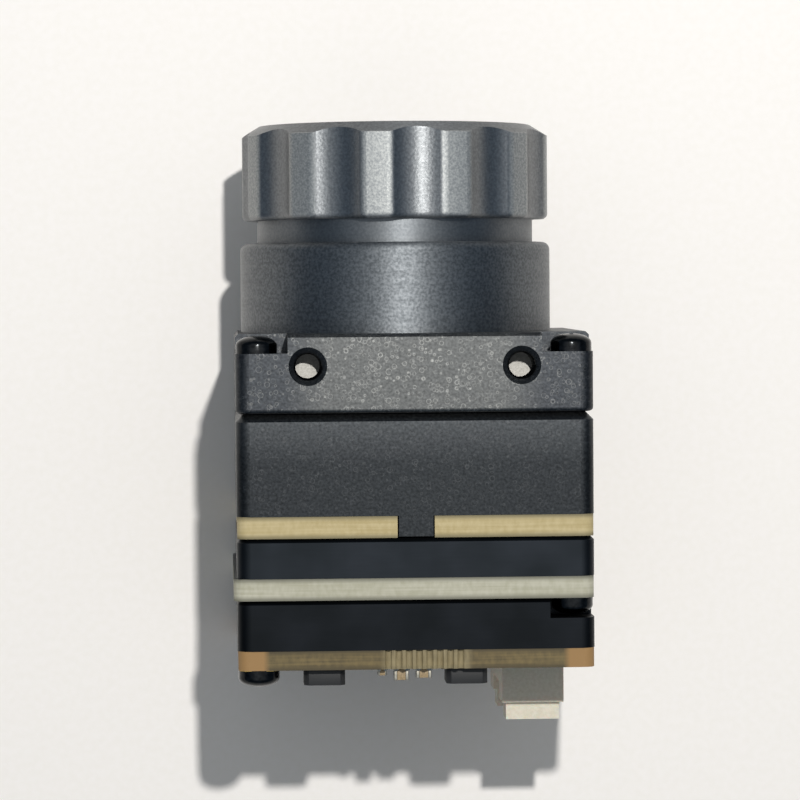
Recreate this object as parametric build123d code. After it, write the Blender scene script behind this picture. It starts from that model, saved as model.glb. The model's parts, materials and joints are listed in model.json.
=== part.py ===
"""Square camera module: a stack of boards and frames behind a screw-focus lens.

Frame: +Y runs parallel to the optical axis towards the front of the lens, +Z is up
and the module lies on one side face at z = 0. The origin is midway between the two
threaded holes in that side face.
"""
from build123d import *
from math import cos, hypot, radians, sin
import os

os.makedirs("parts", exist_ok=True)

# Driving dimensions, in millimetres

# Image sensor, which the square housing is built round
PACKAGE_W = 13.0
PACKAGE_H = 11.6
PACKAGE_T = 1.9
SEAL_GAP = 0.9              # from the sensor package to the soft seal round it
SEAL_W = 1.1
SEAL_MARGIN = 1.3           # from the seal to the wall of the cavity
CAVITY_WALL = 3.2           # from the cavity to the side faces

# Square housing
AXIS_X = -0.8               # the optical axis lies this far left of the housing's middle
SHELL_EDGE_R = 1.0          # rounded long edges of the two housing parts
FRAME_EDGE_R = 1.0          # rounded long edges of the two board frames
SEAM_CHAMFER = 0.6          # bevel on the front outline of the middle housing
SHELL_REAR_R = 0.3          # rounded rear outline of the front shell
FRAME_CHAMFER = 0.3         # bevel on the front outline of each board frame
FACE_CHAMFER = 0.25         # bevel round the front face

# Layers behind the front face, in order
SHELL_T = 5.75
MIDDLE_T = 7.45
SENSOR_BOARD_T = 1.6
FRONT_FRAME_T = 2.9
PROCESSOR_BOARD_T = 1.6
REAR_FRAME_T = 3.65
INTERFACE_BOARD_T = 1.4

# Threaded mounting holes, one pair in each side face
HOLE_SETBACK = 2.35         # from the front face to the row of holes
HOLE_INSET = 5.25           # from the next side face to each hole's axis
HOLE_CORE_R = 1.025         # tapping radius of an M2.5 thread
HOLE_MOUTH_R = 1.4
HOLE_DEPTH = 3.0

# Pan head screws
HEAD_R = 1.5
HEAD_H = 1.3
HEAD_EDGE_H = 0.75          # straight part of the head, below its sloping shoulder
HEAD_SHOULDER = 0.5         # width of that shoulder
SHANK_R = 0.8
SHANK_BEVEL = 0.25
SCREW_HOLE_R = 0.9
THREAD_CLEARANCE = 0.02     # between a shank and the hole that it is screwed into
SCREW_INSET = 1.55          # from a side face to the screw's axis
RECESS_SPAN = 1.6           # cross recess, tip to tip
RECESS_W = 0.36
RECESS_DEPTH = 0.6
FRAME_THREAD_LEN = 2.5      # thread engaged in the front frame
THREAD_END_GAP = 0.3        # drilled past the end of each screw
DRILL_WEB = 0.25            # metal between two screw holes that are drilled towards each other

# Screw pockets, open at the corners
SHELL_POCKET = 3.8
SHELL_POCKET_DEPTH = 1.4
FRAME_POCKET = 3.3
FRAME_POCKET_DEPTH = 1.45

# Middle housing
CAVITY_R = 1.5
FILTER_WALL_T = 2.25
WINDOW_STEP = 1.2           # how far the window's edge lies inside the seal
TAB_W = 2.5                 # key that locates the sensor board
TAB_T = 1.9
TAB_CLEARANCE = 0.1

# Boards and board frames
BOARD_MARGIN = 0.05         # each board's edge lies this far inside the side faces
BOARD_CORNER_R = 0.8
PROCESSOR_OVERHANG = 0.3    # how far the processor board stands out on the left
FRAME_WALL = 2.2
FRAME_POST = 4.6            # solid corner that a screw runs through
FRAME_INNER_R = 0.6

# Break-off perforation on the interface board
BITE_R = 0.25
BITE_PITCH = 0.75
BITE_COUNT = 8
BITE_CENTRE_X = 0.55

# Lens mount
MOUNT_MARGIN = 1.3          # from half the housing's width to the mount's radius
MOUNT_LEN = 6.65
MOUNT_WALL = 1.25
MOUNT_EDGE_R = 0.6
SPIGOT_WALL = 0.6
SPIGOT_LEN = 3.0
SPIGOT_CLEARANCE = 0.02
LIGHT_PATH_MARGIN = 1.2     # how much wider the opening behind the lens is than the glass

# Screw-focus lens
THREAD_FIT = 0.05           # running fit of the lens barrel in its mount
FOCUS_GAP = 1.7             # bare neck between the mount and the fluted ring
REAR_GAP = 0.6              # behind the lens barrel, for its travel
RING_OVERHANG = 1.15        # how far the ring stands out from the neck
RING_LEN = 7.1
RING_SEAT_STEP = 1.2        # how far the ring's seat lies inside the neck
RING_SEAT_CLEARANCE = 0.02
RING_LIP_T = 0.5
RING_LIP_STEP = 0.5         # how far the ring's front lip clears the barrel's bore
RING_FRONT_BEVEL_R = 1.3
RING_FRONT_BEVEL_LEN = 0.8
RING_REAR_EDGE = 0.45
FLUTE_COUNT = 12
FLUTE_PHASE = 6.0           # degrees that the first flute stands right of the top
FLUTE_CUTTER_R = 4.0
FLUTE_DEPTH = 0.65
FLUTE_EDGE_R = 1.0          # rounding where a flute meets the ring's outline

# Optics inside the lens barrel
BARREL_WALL = 1.1           # from the barrel's bore to the seat of the fluted ring
ELEMENT_CLEARANCE = 0.05
GLASS_LIP = 1.4             # width of the rear lip and the spacers that carry the glass
REAR_LIP_T = 0.8
REAR_ELEMENT_T = 2.2
REAR_SPACER_T = 1.8
MIDDLE_ELEMENT_T = 3.0
STOP_T = 0.3
STOP_R = 3.5
FRONT_SPACER_T = 2.4
FRONT_ELEMENT_T = 2.6
RETAINER_T = 2.9
RETAINER_RIM = 0.4          # width of the retainer's front rim
RETAINER_LAND = 0.3         # straight part of the retainer's bore, behind its flare
SPANNER_SLOT_W = 0.9
SPANNER_SLOT_DEPTH = 0.5
REAR_SAG = 0.5
CONCAVE_SAG = 0.8
FRONT_SAG = 1.7
FRONT_BACK_SAG = 0.35
SURFACE_MARGIN = 0.2        # flat ring between a lip and the curved part of a lens surface

# Friction ring between the lens barrel and its mount
FRICTION_RING_T = 0.66
FRICTION_RING_W = 0.7
FRICTION_RING_CLEARANCE = 0.03
GROOVE_W = 0.9
GROOVE_SETBACK = 1.9        # from the mount's front rim to the middle of the groove

# Filter glass and the inside of the sensor package
FILTER_LAP = 0.8            # how far the filter covers the window's edge
FILTER_T = 0.7
FILTER_CLEARANCE = 0.1
SEAL_CORNER_R = 1.0
COVER_RIM = 0.8             # width of the package's rim round the cover glass
COVER_T = 0.5
DIE_RIM = 1.7
DIE_T = 0.6
DIE_POCKET_DEPTH = 1.3
DIE_CLEARANCE = 0.15

# Chips and links between the boards
CHIP_SIZE = 9.0
CHIP_T = 1.1
PAD_INSET = 0.5             # how far the heat-conducting pad lies inside the processor's edge
MEMORY_W = 6.0
MEMORY_H = 8.0
MEMORY_T = 0.9
MEMORY_X = -2.0
CRYSTAL_W = 2.5
CRYSTAL_H = 2.0
CRYSTAL_T = 0.7
CRYSTAL_X = 4.5
CRYSTAL_RISE = 3.0          # above the optical axis
LINK_LEN = 14.0
LINK_W = 3.4
LINK_WALL = 0.45
LINK_FLOOR = 0.35
LINK_CLEARANCE = 0.05
LINK_SHARE = 0.75           # part of the gap between two boards that each half spans
LINK_INSET = 4.8            # from a side face to the middle of each board link

# Parts on the rear of the interface board
COIL_SIZE = 3.0
COIL_T = 1.2
COIL_EDGE = 0.35
COIL_LEFT_X = -6.7
COIL_RIGHT_X = 3.67
COIL_DROP = 2.4             # below the upper side face
REGULATOR_SIZE = 3.0
REGULATOR_T = 0.85
REGULATOR_DROP = 6.7        # from each coil down to the regulator that drives it
CAPACITOR_W = 1.6
CAPACITOR_LEN = 0.8
CAPACITOR_H = 0.5
CAPACITOR_PITCH = 1.9
CAPACITOR_DROP = 3.0        # from each coil down to its pair of capacitors
INTERFACE_CHIP_SIZE = 6.0
INTERFACE_CHIP_T = 0.9
INTERFACE_CHIP_X = -3.0
INTERFACE_CHIP_DROP = 3.5   # below the optical axis
CHIP_ROW_COUNT = 3          # capacitors in the row under the interface chip
CHIP_ROW_GAP = 1.2
CHIP_PART_DROP = 1.2
CHIP_PART_LEN = 0.8
CHIP_PARTS = [              # place along X, width and height of each small part
    (-2.5, 0.65, 0.55),
    (-1.12, 1.1, 0.9),
    (0.52, 1.15, 0.75),
]

# Data and power connector
SOCKET_INSET = 3.94         # from the right side face to the row of contacts
SOCKET_DROP = 1.075         # from the optical axis down to the connector's middle
SOCKET_PITCH = 1.25
SOCKET_WAYS = 8
SOCKET_END = 1.7            # from the last contact to the end of the housing
SOCKET_BASE_W = 4.6
SOCKET_BASE_H = 3.45
SOCKET_TOP_W = 4.0
SOCKET_STEP = 0.4           # how far the upper part is set in at each end
SOCKET_H = 4.75
SOCKET_WALL = 0.6
SOCKET_FLOOR = 1.1
CONTACT_W = 0.32
CONTACT_TIP_GAP = 0.9       # from a contact's tip to the mouth of the connector
CONTACT_FIT = 0.01
CONTACT_BEVEL = 0.08
LATCH_FLOOR = 2.2           # from the board to the latch window in one long wall
LATCH_LEN = 6.0

# Places worked out from the driving dimensions

OVER = 1.0                  # how far each cutter runs past the face that it leaves
SEAL_INNER = PACKAGE_W + 2 * SEAL_GAP
SEAL_OUTER = SEAL_INNER + 2 * SEAL_W
CAVITY = SEAL_OUTER + 2 * SEAL_MARGIN
BODY = CAVITY + 2 * CAVITY_WALL       # side of the square housing, 26 mm
HALF = BODY / 2
AXIS_Z = HALF
WINDOW = SEAL_INNER - 2 * WINDOW_STEP
FILTER = WINDOW + 2 * FILTER_LAP
FACE_Y = HOLE_SETBACK
SHELL_REAR = FACE_Y - SHELL_T
MIDDLE_REAR = SHELL_REAR - MIDDLE_T
SENSOR_BOARD_REAR = MIDDLE_REAR - SENSOR_BOARD_T
FRONT_FRAME_REAR = SENSOR_BOARD_REAR - FRONT_FRAME_T
PROCESSOR_BOARD_REAR = FRONT_FRAME_REAR - PROCESSOR_BOARD_T
REAR_FRAME_REAR = PROCESSOR_BOARD_REAR - REAR_FRAME_T
INTERFACE_BOARD_REAR = REAR_FRAME_REAR - INTERFACE_BOARD_T

HOLE_SPACING = BODY - 2 * HOLE_INSET
HOUSING_THREAD_LEN = (MIDDLE_T - DRILL_WEB) / 2 - THREAD_END_GAP
SCREW_OFF = HALF - SCREW_INSET
ALL_CORNERS = [(1, 1), (-1, 1), (-1, -1), (1, -1)]
MIDDLE_PAIR = [(1, 1), (-1, -1)]      # screws that clamp the processor board
REAR_PAIR = [(-1, 1), (1, -1)]        # screws that clamp the interface board

MOUNT_FRONT = FACE_Y + MOUNT_LEN
RING_REAR = MOUNT_FRONT + FOCUS_GAP
RING_FRONT = RING_REAR + RING_LEN
BARREL_FRONT = RING_FRONT - RING_LIP_T
BARREL_REAR = FACE_Y - SPIGOT_LEN + REAR_GAP
MOUNT_R = HALF - MOUNT_MARGIN
MOUNT_BORE_R = MOUNT_R - MOUNT_WALL
SPIGOT_R = MOUNT_BORE_R + SPIGOT_WALL
GROOVE_Y = MOUNT_FRONT - GROOVE_SETBACK
BARREL_R = MOUNT_BORE_R - THREAD_FIT
RING_R = BARREL_R + RING_OVERHANG
RING_SEAT_R = BARREL_R - RING_SEAT_STEP
BORE_R = RING_SEAT_R - BARREL_WALL
RING_LIP_R = BORE_R + RING_LIP_STEP
ELEMENT_R = BORE_R - ELEMENT_CLEARANCE
CLEAR_R = BORE_R - GLASS_LIP
SURFACE_R = CLEAR_R - SURFACE_MARGIN
LIGHT_PATH_R = CLEAR_R + LIGHT_PATH_MARGIN

LINK_OFFSET = HALF - LINK_INSET
SOCKET_X = HALF - SOCKET_INSET
COIL_Z = BODY - COIL_DROP

AXIS = Axis((AXIS_X, 0, AXIS_Z), (0, 1, 0))


# Plain solids: boxes lie round the housing's middle, rods and turned pieces on the optical axis


def block(width, height, y_low, y_high, x=0.0, z=AXIS_Z):
    """A box whose width runs along X and whose height runs along Z."""
    middle = (y_low + y_high) / 2
    return Pos(x, middle, z) * Box(width, y_high - y_low, height)


def rounded_block(width, height, y_low, y_high, radius, x=0.0, z=AXIS_Z):
    """The same box with its four long edges rounded."""
    solid = block(width, height, y_low, y_high, x, z)
    return fillet(solid.edges().filter_by(Axis.Y), radius)


def rod(radius, y_low, y_high, x=AXIS_X, z=AXIS_Z):
    """A cylinder along the optical axis, or parallel to it at another place."""
    middle = (y_low + y_high) / 2
    return Pos(x, middle, z) * Rot(90, 0, 0) * Cylinder(radius, y_high - y_low)


def turned(points):
    """Turn a closed outline of (radius, y) points about the optical axis."""
    outline = Polyline(*[(AXIS_X + r, y, AXIS_Z) for r, y in points], close=True)
    return revolve(make_face(outline), AXIS)


def sleeve(outer, inner, y_low, y_high):
    """A plain ring about the optical axis."""
    return rod(outer, y_low, y_high) - rod(inner, y_low - OVER, y_high + OVER)


def corner(sign_x, sign_z, offset=SCREW_OFF):
    """Place of a corner, as (x, z)."""
    return (sign_x * offset, AXIS_Z + sign_z * offset)


def corner_holes(solid, radius, y_low, y_high, signs):
    """Drill one hole at each named corner."""
    for sign_x, sign_z in signs:
        x, z = corner(sign_x, sign_z)
        solid -= rod(radius, y_low, y_high, x, z)
    return solid


def corner_pockets(solid, size, y_low, y_high, signs):
    """Mill a square pocket that is open at each named corner."""
    for sign_x, sign_z in signs:
        x, z = corner(sign_x, sign_z, HALF - size / 2 + OVER / 2)
        solid -= block(size + OVER, size + OVER, y_low, y_high, x, z)
    return solid


def bevel_front(solid, y, size):
    """Bevel the whole outline of the face that lies at y."""
    face = solid.faces().filter_by(Axis.Y).sort_by(Axis.Y)[-1]
    assert abs(face.center().Y - y) < 0.01
    return chamfer(face.outer_wire().edges(), size)


# Housing


def side_holes():
    """The eight threaded mounting holes with their bevelled mouths."""
    bevel = HOLE_MOUTH_R - HOLE_CORE_R
    drill = Pos(0, 0, -HOLE_DEPTH / 2) * Cylinder(HOLE_CORE_R, HOLE_DEPTH)
    mouth = Pos(0, 0, -bevel / 2) * Cone(HOLE_CORE_R, HOLE_MOUTH_R, bevel)
    cutters = []
    for turn in (0, 90, 180, 270):
        side = Pos(0, 0, AXIS_Z) * Rot(0, turn, 0) * Pos(0, 0, HALF)
        for x in (-HOLE_SPACING / 2, HOLE_SPACING / 2):
            cutters.append(side * Pos(x, 0, 0) * (drill + mouth))
    return cutters


def front_shell():
    """Front plate that carries the lens mount and the mounting holes."""
    solid = rounded_block(BODY, BODY, SHELL_REAR, FACE_Y, SHELL_EDGE_R)
    solid = bevel_front(solid, FACE_Y, FACE_CHAMFER)
    rear_face = solid.faces().filter_by(Axis.Y).sort_by(Axis.Y)[0]
    solid = fillet(rear_face.outer_wire().edges(), SHELL_REAR_R)
    shoulder = FACE_Y - SPIGOT_LEN
    solid -= rod(SPIGOT_R + SPIGOT_CLEARANCE, shoulder, FACE_Y + OVER)
    solid -= rod(LIGHT_PATH_R, SHELL_REAR - OVER, shoulder + OVER)
    pocket_floor = FACE_Y - SHELL_POCKET_DEPTH
    solid = corner_pockets(solid, SHELL_POCKET, pocket_floor, FACE_Y + OVER, ALL_CORNERS)
    solid = corner_holes(solid, SCREW_HOLE_R, SHELL_REAR - OVER, FACE_Y, ALL_CORNERS)
    for cutter in side_holes():
        solid -= cutter
    return solid


def middle_housing():
    """Housing round the image sensor, with two keys for the sensor board."""
    solid = rounded_block(BODY, BODY, MIDDLE_REAR, SHELL_REAR, SHELL_EDGE_R)
    solid = bevel_front(solid, SHELL_REAR, SEAM_CHAMFER)
    wall_rear = SHELL_REAR - FILTER_WALL_T
    solid -= rounded_block(CAVITY, CAVITY, MIDDLE_REAR - OVER, wall_rear, CAVITY_R)
    solid -= block(WINDOW, WINDOW, wall_rear - OVER, SHELL_REAR + OVER, AXIS_X)
    seat = FILTER + 2 * FILTER_CLEARANCE
    seat_front = wall_rear + FILTER_T + FILTER_CLEARANCE
    solid -= block(seat, seat, wall_rear - OVER, seat_front, AXIS_X)
    thread_r = SHANK_R + THREAD_CLEARANCE
    front_drill = SHELL_REAR - HOUSING_THREAD_LEN - THREAD_END_GAP
    solid = corner_holes(solid, thread_r, front_drill, SHELL_REAR + OVER, ALL_CORNERS)
    rear_drill = MIDDLE_REAR + HOUSING_THREAD_LEN + THREAD_END_GAP
    solid = corner_holes(solid, thread_r, MIDDLE_REAR - OVER, rear_drill, MIDDLE_PAIR)
    for sign_z in (1, -1):
        z = AXIS_Z + sign_z * (HALF - TAB_T / 2)
        tip = MIDDLE_REAR - SENSOR_BOARD_T + TAB_CLEARANCE
        solid += block(TAB_W, TAB_T, tip, MIDDLE_REAR, 0, z)
    return solid


# Boards and the frames between them


def board(y_low, y_high, overhang=0.0):
    """A bare circuit board; overhang lengthens it on the left side."""
    side = BODY - 2 * BOARD_MARGIN
    return rounded_block(side + overhang, side, y_low, y_high, BOARD_CORNER_R, -overhang / 2)


def sensor_board():
    solid = board(SENSOR_BOARD_REAR, MIDDLE_REAR)
    notch_w = TAB_W + 2 * TAB_CLEARANCE
    notch_t = TAB_T + TAB_CLEARANCE
    for sign_z in (1, -1):
        z = AXIS_Z + sign_z * (HALF - notch_t / 2 + OVER / 2)
        solid -= block(notch_w, notch_t + OVER, SENSOR_BOARD_REAR - OVER, MIDDLE_REAR + OVER, 0, z)
    return corner_holes(
        solid, SCREW_HOLE_R, SENSOR_BOARD_REAR - OVER, MIDDLE_REAR + OVER, MIDDLE_PAIR
    )


def processor_board():
    solid = board(PROCESSOR_BOARD_REAR, FRONT_FRAME_REAR, PROCESSOR_OVERHANG)
    return corner_holes(
        solid, SCREW_HOLE_R, PROCESSOR_BOARD_REAR - OVER, FRONT_FRAME_REAR + OVER, ALL_CORNERS
    )


def interface_board():
    """Rear board, with the half holes left where it was broken from its panel."""
    solid = board(INTERFACE_BOARD_REAR, REAR_FRAME_REAR)
    first = BITE_CENTRE_X - BITE_PITCH * (BITE_COUNT - 1) / 2
    edge = HALF - BOARD_MARGIN
    for sign_z in (1, -1):
        for index in range(BITE_COUNT):
            x = first + index * BITE_PITCH
            solid -= rod(
                BITE_R, INTERFACE_BOARD_REAR - OVER, REAR_FRAME_REAR + OVER, x, AXIS_Z + sign_z * edge
            )
    return corner_holes(
        solid, SCREW_HOLE_R, INTERFACE_BOARD_REAR - OVER, REAR_FRAME_REAR + OVER, REAR_PAIR
    )


def board_frame(y_low, y_high):
    """A square frame with a solid post in each corner."""
    solid = rounded_block(BODY, BODY, y_low, y_high, FRAME_EDGE_R)
    solid = bevel_front(solid, y_high, FRAME_CHAMFER)
    wide = BODY - 2 * FRAME_WALL
    narrow = BODY - 2 * FRAME_POST
    opening = block(wide, narrow, y_low - OVER, y_high + OVER)
    opening += block(narrow, wide, y_low - OVER, y_high + OVER)
    opening = fillet(opening.edges().filter_by(Axis.Y), FRAME_INNER_R)
    return solid - opening


def front_frame():
    solid = board_frame(FRONT_FRAME_REAR, SENSOR_BOARD_REAR)
    solid = corner_holes(
        solid, SCREW_HOLE_R, FRONT_FRAME_REAR - OVER, SENSOR_BOARD_REAR + OVER, MIDDLE_PAIR
    )
    return corner_holes(
        solid, SHANK_R + THREAD_CLEARANCE, FRONT_FRAME_REAR - OVER, SENSOR_BOARD_REAR + OVER, REAR_PAIR
    )


def rear_frame():
    solid = board_frame(REAR_FRAME_REAR, PROCESSOR_BOARD_REAR)
    floor = PROCESSOR_BOARD_REAR - FRAME_POCKET_DEPTH
    solid = corner_pockets(solid, FRAME_POCKET, floor, PROCESSOR_BOARD_REAR + OVER, MIDDLE_PAIR)
    return corner_holes(
        solid, SCREW_HOLE_R, REAR_FRAME_REAR - OVER, PROCESSOR_BOARD_REAR + OVER, REAR_PAIR
    )


# Screws


def pan_screw(seat_y, shank_len, direction, x, z):
    """A pan head screw; direction is the way that its head faces along Y."""
    head = Pos(0, 0, HEAD_H / 2) * Cylinder(HEAD_R, HEAD_H)
    top_face = head.faces().sort_by(Axis.Z)[-1]
    head = chamfer(top_face.edges(), HEAD_SHOULDER, HEAD_H - HEAD_EDGE_H, reference=top_face)
    recess = Box(RECESS_SPAN, RECESS_W, 2 * RECESS_DEPTH)
    recess += Box(RECESS_W, RECESS_SPAN, 2 * RECESS_DEPTH)
    head -= Pos(0, 0, HEAD_H) * recess
    shank = Pos(0, 0, -shank_len / 2) * Cylinder(SHANK_R, shank_len)
    shank = chamfer(shank.edges().sort_by(Axis.Z)[0], SHANK_BEVEL)
    return Pos(x, seat_y, z) * Rot(-90 * direction, 0, 0) * (head + shank)


def screw_set(seat_y, shank_len, direction, signs):
    """One screw at each named corner."""
    screws = []
    for sign_x, sign_z in signs:
        x, z = corner(sign_x, sign_z)
        screws.append(pan_screw(seat_y, shank_len, direction, x, z))
    return Compound(children=screws)


def front_screws():
    seat = FACE_Y - SHELL_POCKET_DEPTH
    return screw_set(seat, seat - SHELL_REAR + HOUSING_THREAD_LEN, 1, ALL_CORNERS)


def middle_screws():
    seat = PROCESSOR_BOARD_REAR
    return screw_set(seat, MIDDLE_REAR - seat + HOUSING_THREAD_LEN, -1, MIDDLE_PAIR)


def rear_screws():
    seat = INTERFACE_BOARD_REAR
    return screw_set(seat, FRONT_FRAME_REAR - seat + FRAME_THREAD_LEN, -1, REAR_PAIR)


# Lens mount and screw-focus lens


def lens_mount():
    """Turned tube that screws into the shell and guides the lens barrel."""
    shoulder = FACE_Y - SPIGOT_LEN
    solid = rod(MOUNT_R, FACE_Y, MOUNT_FRONT)
    front_edge = solid.edges().filter_by(GeomType.CIRCLE).sort_by(Axis.Y)[-1]
    solid = fillet(front_edge, MOUNT_EDGE_R)
    solid += rod(SPIGOT_R, shoulder, FACE_Y)
    return solid - rod(MOUNT_BORE_R, shoulder - OVER, MOUNT_FRONT + OVER)


def lens_barrel():
    """Threaded tube that holds the glass and carries the fluted ring."""
    outline = [
        (CLEAR_R, BARREL_REAR),
        (BARREL_R, BARREL_REAR),
        (BARREL_R, GROOVE_Y - GROOVE_W / 2),
        (groove_floor_r(), GROOVE_Y - GROOVE_W / 2),
        (groove_floor_r(), GROOVE_Y + GROOVE_W / 2),
        (BARREL_R, GROOVE_Y + GROOVE_W / 2),
        (BARREL_R, RING_REAR),
        (RING_SEAT_R, RING_REAR),
        (RING_SEAT_R, BARREL_FRONT),
        (BORE_R, BARREL_FRONT),
        (BORE_R, BARREL_REAR + REAR_LIP_T),
        (CLEAR_R, BARREL_REAR + REAR_LIP_T),
    ]
    return turned(outline)


def groove_floor_r():
    """Bottom radius of the groove for the friction ring."""
    return MOUNT_BORE_R - FRICTION_RING_T - 3 * FRICTION_RING_CLEARANCE


def friction_ring():
    """Square-cut rubber ring that gives the focus its smooth, stiff feel."""
    outer = MOUNT_BORE_R - FRICTION_RING_CLEARANCE
    half_w = FRICTION_RING_W / 2
    return sleeve(outer, outer - FRICTION_RING_T, GROOVE_Y - half_w, GROOVE_Y + half_w)


def distance_from_axis(edge):
    """How far an edge's middle lies from the optical axis, rounded to sort by."""
    middle = edge.center()
    return round(hypot(middle.X - AXIS_X, middle.Z - AXIS_Z), 3)


def focus_ring():
    """Fluted grip ring, beveled in front, rounded behind and pressed on the barrel."""
    solid = rod(RING_R, RING_REAR, RING_FRONT)
    cutter_off = RING_R - FLUTE_DEPTH + FLUTE_CUTTER_R
    for index in range(FLUTE_COUNT):
        angle = radians(FLUTE_PHASE + index * 360 / FLUTE_COUNT)
        x = AXIS_X + cutter_off * sin(angle)
        z = AXIS_Z + cutter_off * cos(angle)
        solid -= rod(FLUTE_CUTTER_R, RING_REAR - OVER, RING_FRONT + OVER, x, z)
    lands = solid.edges().filter_by(Axis.Y).group_by(distance_from_axis)[-1]
    solid = fillet(lands, FLUTE_EDGE_R)
    rear_face = solid.faces().filter_by(Axis.Y).sort_by(Axis.Y)[0]
    solid = fillet(rear_face.outer_wire().edges(), RING_REAR_EDGE)
    bevel = [
        (RING_R - RING_FRONT_BEVEL_R, RING_FRONT),
        (RING_R, RING_FRONT - RING_FRONT_BEVEL_LEN),
        (RING_R + OVER, RING_FRONT - RING_FRONT_BEVEL_LEN),
        (RING_R + OVER, RING_FRONT + OVER),
        (RING_R - RING_FRONT_BEVEL_R, RING_FRONT + OVER),
    ]
    solid -= turned(bevel)
    seat_r = RING_SEAT_R + RING_SEAT_CLEARANCE
    solid -= rod(seat_r, RING_REAR - OVER, BARREL_FRONT)
    return solid - rod(RING_LIP_R, BARREL_FRONT - OVER, RING_FRONT + OVER)


# Glass and its spacers, from the rear of the barrel forwards


def stack_places():
    """The rear face of each piece in the barrel, and the front of the last."""
    lengths = [
        REAR_ELEMENT_T,
        REAR_SPACER_T,
        MIDDLE_ELEMENT_T,
        STOP_T,
        FRONT_SPACER_T,
        FRONT_ELEMENT_T,
        RETAINER_T,
    ]
    places = [BARREL_REAR + REAR_LIP_T]
    for length in lengths:
        places.append(places[-1] + length)
    return places


def cap(sag, y, facing):
    """A shallow spherical cap whose flat side lies at y."""
    sphere_r = (SURFACE_R**2 + sag**2) / (2 * sag)
    centre = y + facing * (sag - sphere_r)
    ball = Pos(AXIS_X, centre, AXIS_Z) * Sphere(sphere_r)
    if facing > 0:
        slab = rod(SURFACE_R + OVER, y, y + sag + OVER)
    else:
        slab = rod(SURFACE_R + OVER, y - sag - OVER, y)
    return ball & slab


def rear_element():
    low, high = STACK[0], STACK[1]
    return rod(ELEMENT_R, low, high) + cap(REAR_SAG, low, -1)


def rear_spacer():
    return sleeve(ELEMENT_R, CLEAR_R, STACK[1], STACK[2])


def middle_element():
    """The negative lens, hollow on both faces."""
    low, high = STACK[2], STACK[3]
    return rod(ELEMENT_R, low, high) - cap(CONCAVE_SAG, low, 1) - cap(CONCAVE_SAG, high, -1)


def aperture_stop():
    return sleeve(ELEMENT_R, STOP_R, STACK[3], STACK[4])


def front_spacer():
    return sleeve(ELEMENT_R, CLEAR_R, STACK[4], STACK[5])


def front_element():
    low, high = STACK[5], STACK[6]
    return rod(ELEMENT_R, low, high) + cap(FRONT_SAG, high, 1) + cap(FRONT_BACK_SAG, low, -1)


def front_retainer():
    """Threaded ring with a flared mouth and two slots for a spanner."""
    low, high = STACK[6], STACK[7]
    outline = [
        (CLEAR_R, low),
        (ELEMENT_R, low),
        (ELEMENT_R, high),
        (BORE_R - RETAINER_RIM, high),
        (CLEAR_R, low + RETAINER_LAND),
    ]
    slot_floor = high - SPANNER_SLOT_DEPTH
    slot = block(2 * BORE_R + OVER, SPANNER_SLOT_W, slot_floor, high + OVER, AXIS_X)
    return turned(outline) - slot


# Image sensor and filter


def filter_glass():
    seat = SHELL_REAR - FILTER_WALL_T + FILTER_CLEARANCE
    return block(FILTER, FILTER, seat, seat + FILTER_T, AXIS_X)


def dust_seal():
    """Soft square frame between the housing's wall and the sensor board."""
    high = SHELL_REAR - FILTER_WALL_T
    solid = rounded_block(SEAL_OUTER, SEAL_OUTER, MIDDLE_REAR, high, SEAL_CORNER_R, AXIS_X)
    return solid - block(SEAL_INNER, SEAL_INNER, MIDDLE_REAR - OVER, high + OVER, AXIS_X)


def sensor_package():
    """Ceramic carrier with a stepped pocket for the chip and its cover."""
    front = MIDDLE_REAR + PACKAGE_T
    solid = block(PACKAGE_W, PACKAGE_H, MIDDLE_REAR, front, AXIS_X)
    for rim, depth in ((COVER_RIM, COVER_T), (DIE_RIM, DIE_POCKET_DEPTH)):
        width = PACKAGE_W - 2 * rim
        height = PACKAGE_H - 2 * rim
        solid -= block(width, height, front - depth, front + OVER, AXIS_X)
    return solid


def sensor_die():
    floor = MIDDLE_REAR + PACKAGE_T - DIE_POCKET_DEPTH
    width = PACKAGE_W - 2 * (DIE_RIM + DIE_CLEARANCE)
    height = PACKAGE_H - 2 * (DIE_RIM + DIE_CLEARANCE)
    return block(width, height, floor, floor + DIE_T, AXIS_X)


def sensor_cover():
    front = MIDDLE_REAR + PACKAGE_T
    width = PACKAGE_W - 2 * (COVER_RIM + FILTER_CLEARANCE)
    height = PACKAGE_H - 2 * (COVER_RIM + FILTER_CLEARANCE)
    return block(width, height, front - COVER_T, front, AXIS_X)


# Electronics between the boards


def processor_chip():
    return block(CHIP_SIZE, CHIP_SIZE, FRONT_FRAME_REAR, FRONT_FRAME_REAR + CHIP_T)


def thermal_pad():
    """Soft pad between the processor and the rear of the sensor board."""
    low = FRONT_FRAME_REAR + CHIP_T
    side = CHIP_SIZE - 2 * PAD_INSET
    return block(side, side, low, SENSOR_BOARD_REAR)


def memory_chip():
    high = PROCESSOR_BOARD_REAR
    return block(MEMORY_W, MEMORY_H, high - MEMORY_T, high, MEMORY_X)


def crystal():
    high = PROCESSOR_BOARD_REAR
    z = AXIS_Z + CRYSTAL_RISE
    return block(CRYSTAL_W, CRYSTAL_H, high - CRYSTAL_T, high, CRYSTAL_X, z)


def link_socket(front_y, rear_y, z):
    """Shrouded half of a board link, standing on the board behind it."""
    height = (front_y - rear_y) * LINK_SHARE
    solid = block(LINK_LEN, LINK_W, rear_y, rear_y + height, 0, z)
    return solid - block(
        LINK_LEN - 2 * LINK_WALL, LINK_W - 2 * LINK_WALL, rear_y + LINK_FLOOR, front_y, 0, z
    )


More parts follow.
